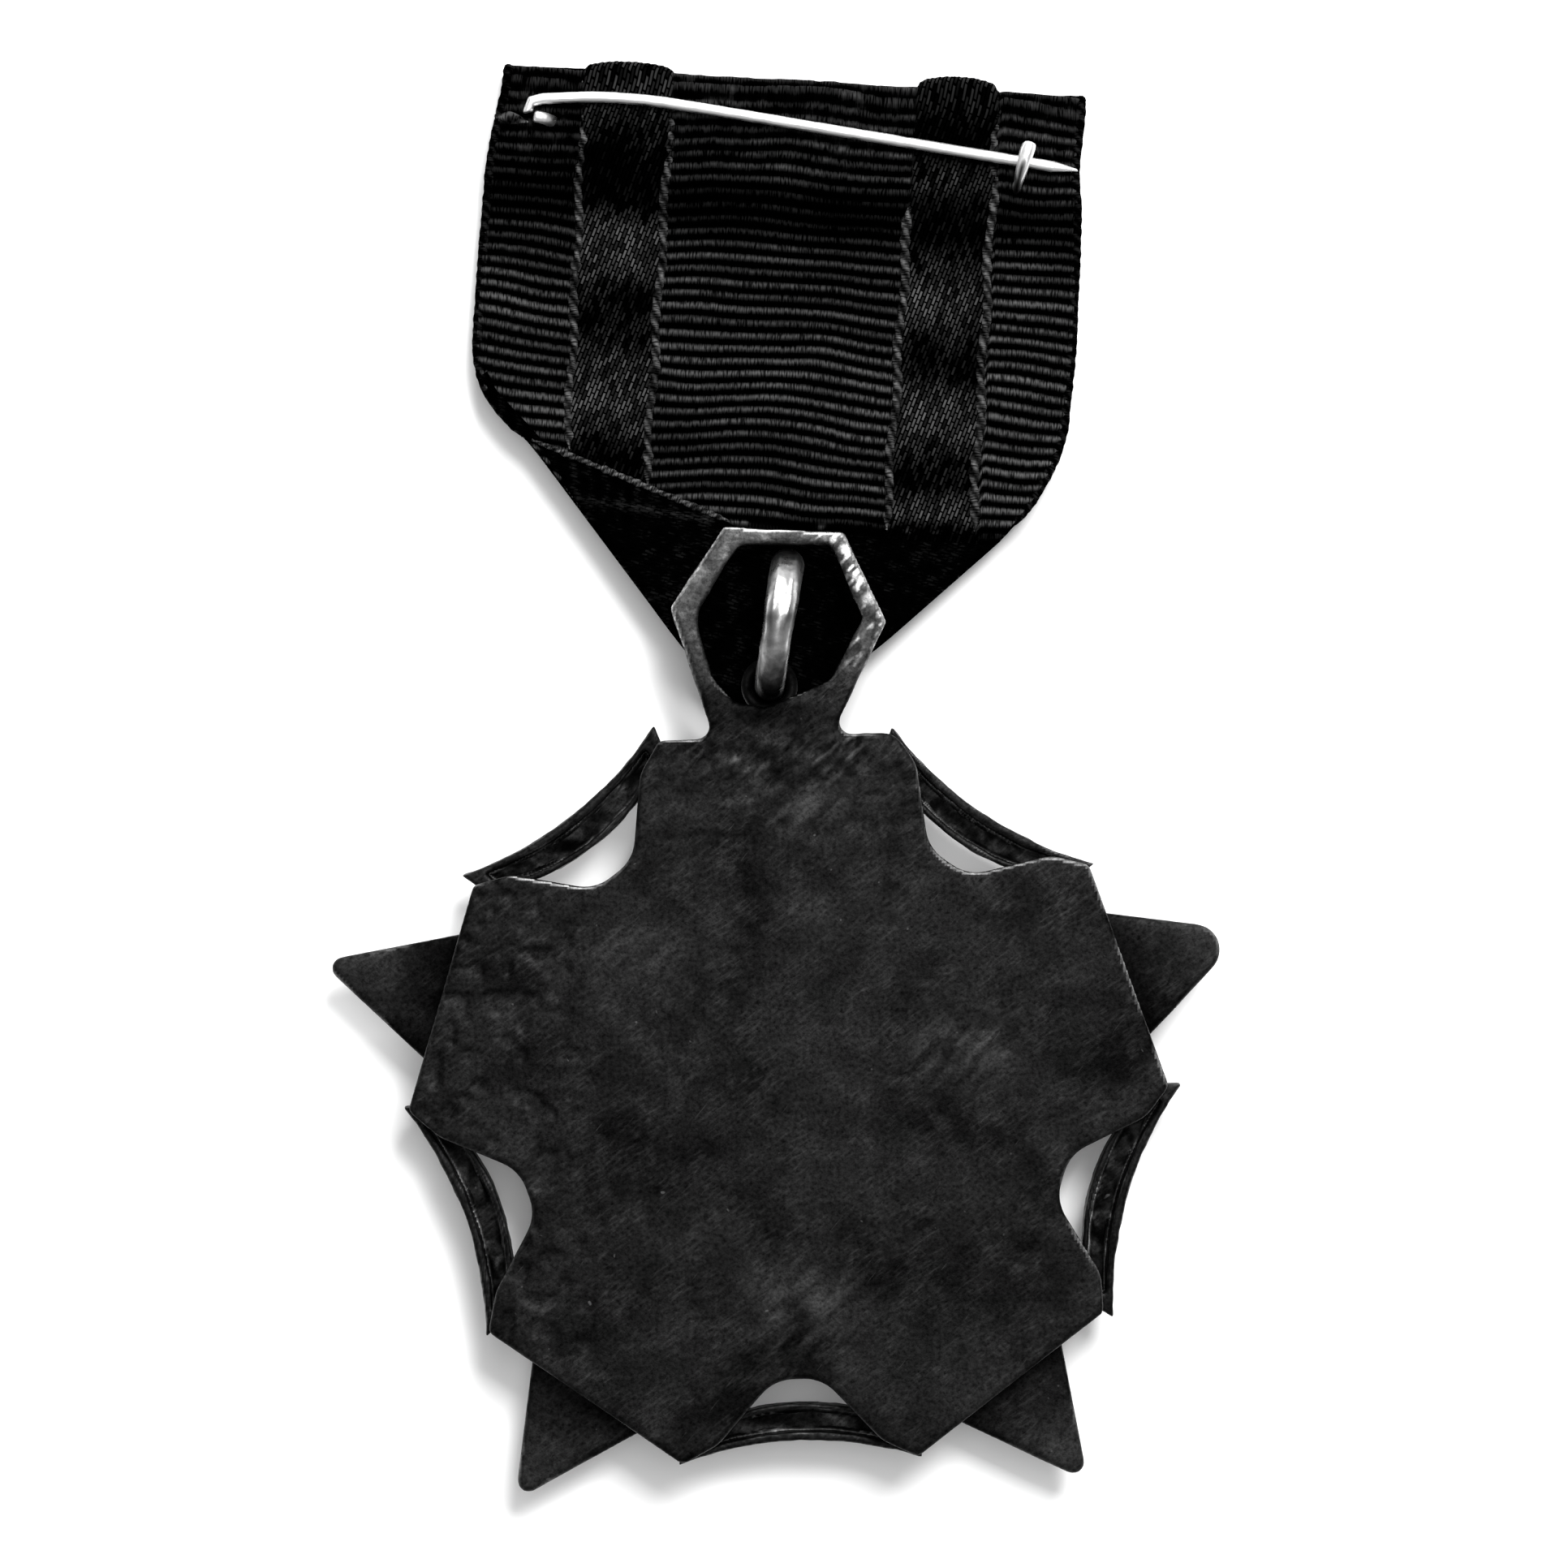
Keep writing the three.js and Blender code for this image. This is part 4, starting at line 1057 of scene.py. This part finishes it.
def make_ring():
    """Thick round wire, flattened and scratched by wear, with painted highlight and shade along it."""
    obj, points, normals = remeshed("suspension_ring", "ring_wire", *FINE["suspension_ring"])
    local = in_badge(points) - np.array(LOOP_CENTRE)
    along = local[:, 1]
    growth = 0.02 + 0.1 * smoothstep(-1.5, 1, along) * smoothstep(4.6, 3.6, along)
    rise = growth + layered(points, *RING_DENTS)
    facing = np.sqrt(np.clip(1 - (normals @ ring_axis()) ** 2, 0, 1))
    outer = smoothstep(0, 0.3, normals[:, 2])
    flat = (RING_FLAT / np.maximum(facing, RING_FLAT) - 1) * outer * smoothstep(-1, 1, along)
    rise = rise + RING_WIRE * flat
    points = points + normals * rise[:, None]
    streak = soft_noise(points, STREAKS, 153)
    # polished holds painted light along the ring: highlights in its upper third and at -2.2 mm, shade at its
    # ends; the streaks are scratches
    polished = np.interp(along, RING_PAINTED_LIGHT_AT, RING_PAINTED_LIGHT)
    wear_and_painted_light = np.clip(polished * (1 + 0.7 * streak * (1 - polished)), 0.03, 1)
    settle(obj, points, wear_and_painted_light, RING_STEEL, "ring", "ring", "suspension_ring")


def leaf(points):
    """The hook hammered flat, widest near its rounded top, with a groove up its stem; and its brightness,
    with painted shade in the groove.
    """
    x, y, z = in_ribbon(points).T
    up = (y - HOOK_FOOT.y) / (HOOK_TOP.y - HOOK_FOOT.y)
    middle = HOOK_FOOT.x + (HOOK_TOP.x - HOOK_FOOT.x) * up
    aside = (x - middle) * np.interp(up, HOOK_WIDTH_AT, HOOK_WIDTH)
    groove = np.exp(-((aside / 0.19) ** 2)) * (1 - smoothstep(0.35, 0.6, up))
    lean = 0.15 * smoothstep(0.3, 1, up)
    turn = np.array(RIBBON.to_3x3()) / MM
    shifted = turn[:, 0] * (aside - x + middle + lean)[:, None] - turn[:, 2] * (0.2 * groove)[:, None]
    # painted shade in the groove, and darker towards the foot
    bright = (1 - 0.97 * groove) * smoothstep(-0.05, 0.15, up)
    return points + shifted, np.clip(bright, 0.01, 1)


def drawn_out(points):
    """The needle with its point drawn out a little further."""
    x = in_ribbon(points)[:, 0]
    right = np.array(RIBBON.to_3x3())[:, 0] / MM
    return points + right * (POINT_REACH * smoothstep(POINT_START, POINT_START + 3.5, x))[:, None]


def make_wires():
    """The pin's root, its needle and the hook: fine polished wire."""
    for node, name, body, growth in (
        ("pin_anchor", "pin_root", "ribbon", 0.09),
        ("pin_needle", "needle", "pin", 0.06),
        ("catch_hook", "hook", "ribbon", 0.04),
    ):
        obj, points, normals = remeshed(node, name, *FINE["wire"])
        points = points + normals * (growth + 0.012 * soft_noise(points, 0.5, 161))[:, None]
        bright = np.ones(len(points))
        if node == "catch_hook":
            points, bright = leaf(points)
        if node == "pin_needle":
            points = drawn_out(points)
        settle(obj, points, bright, BRIGHT, body, "pin_wire", node)


def hidden_metal():
    """The brooch bar inside the hem and the stud inside the badge keep their CAD shape."""
    for node in ("brooch_bar", "centre_stud"):
        mesh = frame["nodes"][node].data
        mesh.materials.clear()
        mesh.materials.append(PATINA)


# ---------------------------------------------------------------- stage

VIEW_WIDTH = 98.53 * MM  # width of the picture in the plane of the badge
VIEW_OFFSET = Vector((0.5, -0.29, 0)) * MM  # where the camera looks, from the middle of the medal
VIEW_LENS = 135.0
SENSOR = 36.0
FLOOR_SIZE = 3.0  # metres
SKY = 0.46  # strength of the white surroundings
# area lights: place and size in metres, and power in watts
LIGHTS = {
    "key": ((0.14, 0.28, 0.6), 0.2, 4.8),
    "low": ((0.02, 0.6, 0.36), 0.14, 2.2),
    "overhead": ((0.03, 0.06, 0.75), 0.4, 1.5),
}


def make_stage():
    bpy.ops.mesh.primitive_plane_add(size=FLOOR_SIZE, location=(0, 0, 0))
    floor = bpy.context.active_object
    floor.name = "floor"
    floor.data.materials.append(floor_material())
    world = bpy.data.worlds.new("studio")
    bpy.context.scene.world = world
    world.use_nodes = True
    background = world.node_tree.nodes["Background"]
    background.inputs["Color"].default_value = (1, 1, 1, 1)
    background.inputs["Strength"].default_value = SKY
    for name, (place, size, power) in LIGHTS.items():
        add_light(name, place, size, power)


def add_light(name, place, size, power):
    data = bpy.data.lights.new(name, "AREA")
    data.size = size
    data.energy = power
    light = bpy.data.objects.new(name, data)
    light.location = place
    light.rotation_euler = (Vector((0, 0, 0)) - Vector(place)).to_track_quat("-Z", "Y").to_euler()
    bpy.context.scene.collection.objects.link(light)


def make_camera():
    data = bpy.data.cameras.new("camera")
    data.lens = VIEW_LENS
    data.sensor_width = SENSOR
    data.clip_start = 0.01
    camera = bpy.data.objects.new("camera", data)
    low, high = CAD_BOX
    middle = (low + high) / 2 + VIEW_OFFSET
    distance = VIEW_WIDTH * VIEW_LENS / SENSOR
    camera.location = (middle.x, middle.y, middle.z + distance)
    bpy.context.scene.collection.objects.link(camera)
    bpy.context.scene.camera = camera


make_camera()
make_stage()
make_ribbon()
make_back_plate()
make_star()
make_struts()
make_front_pieces()
make_eyelet()
make_ring()
make_wires()
hidden_metal()
bpy.context.scene.view_settings.view_transform = "Standard"
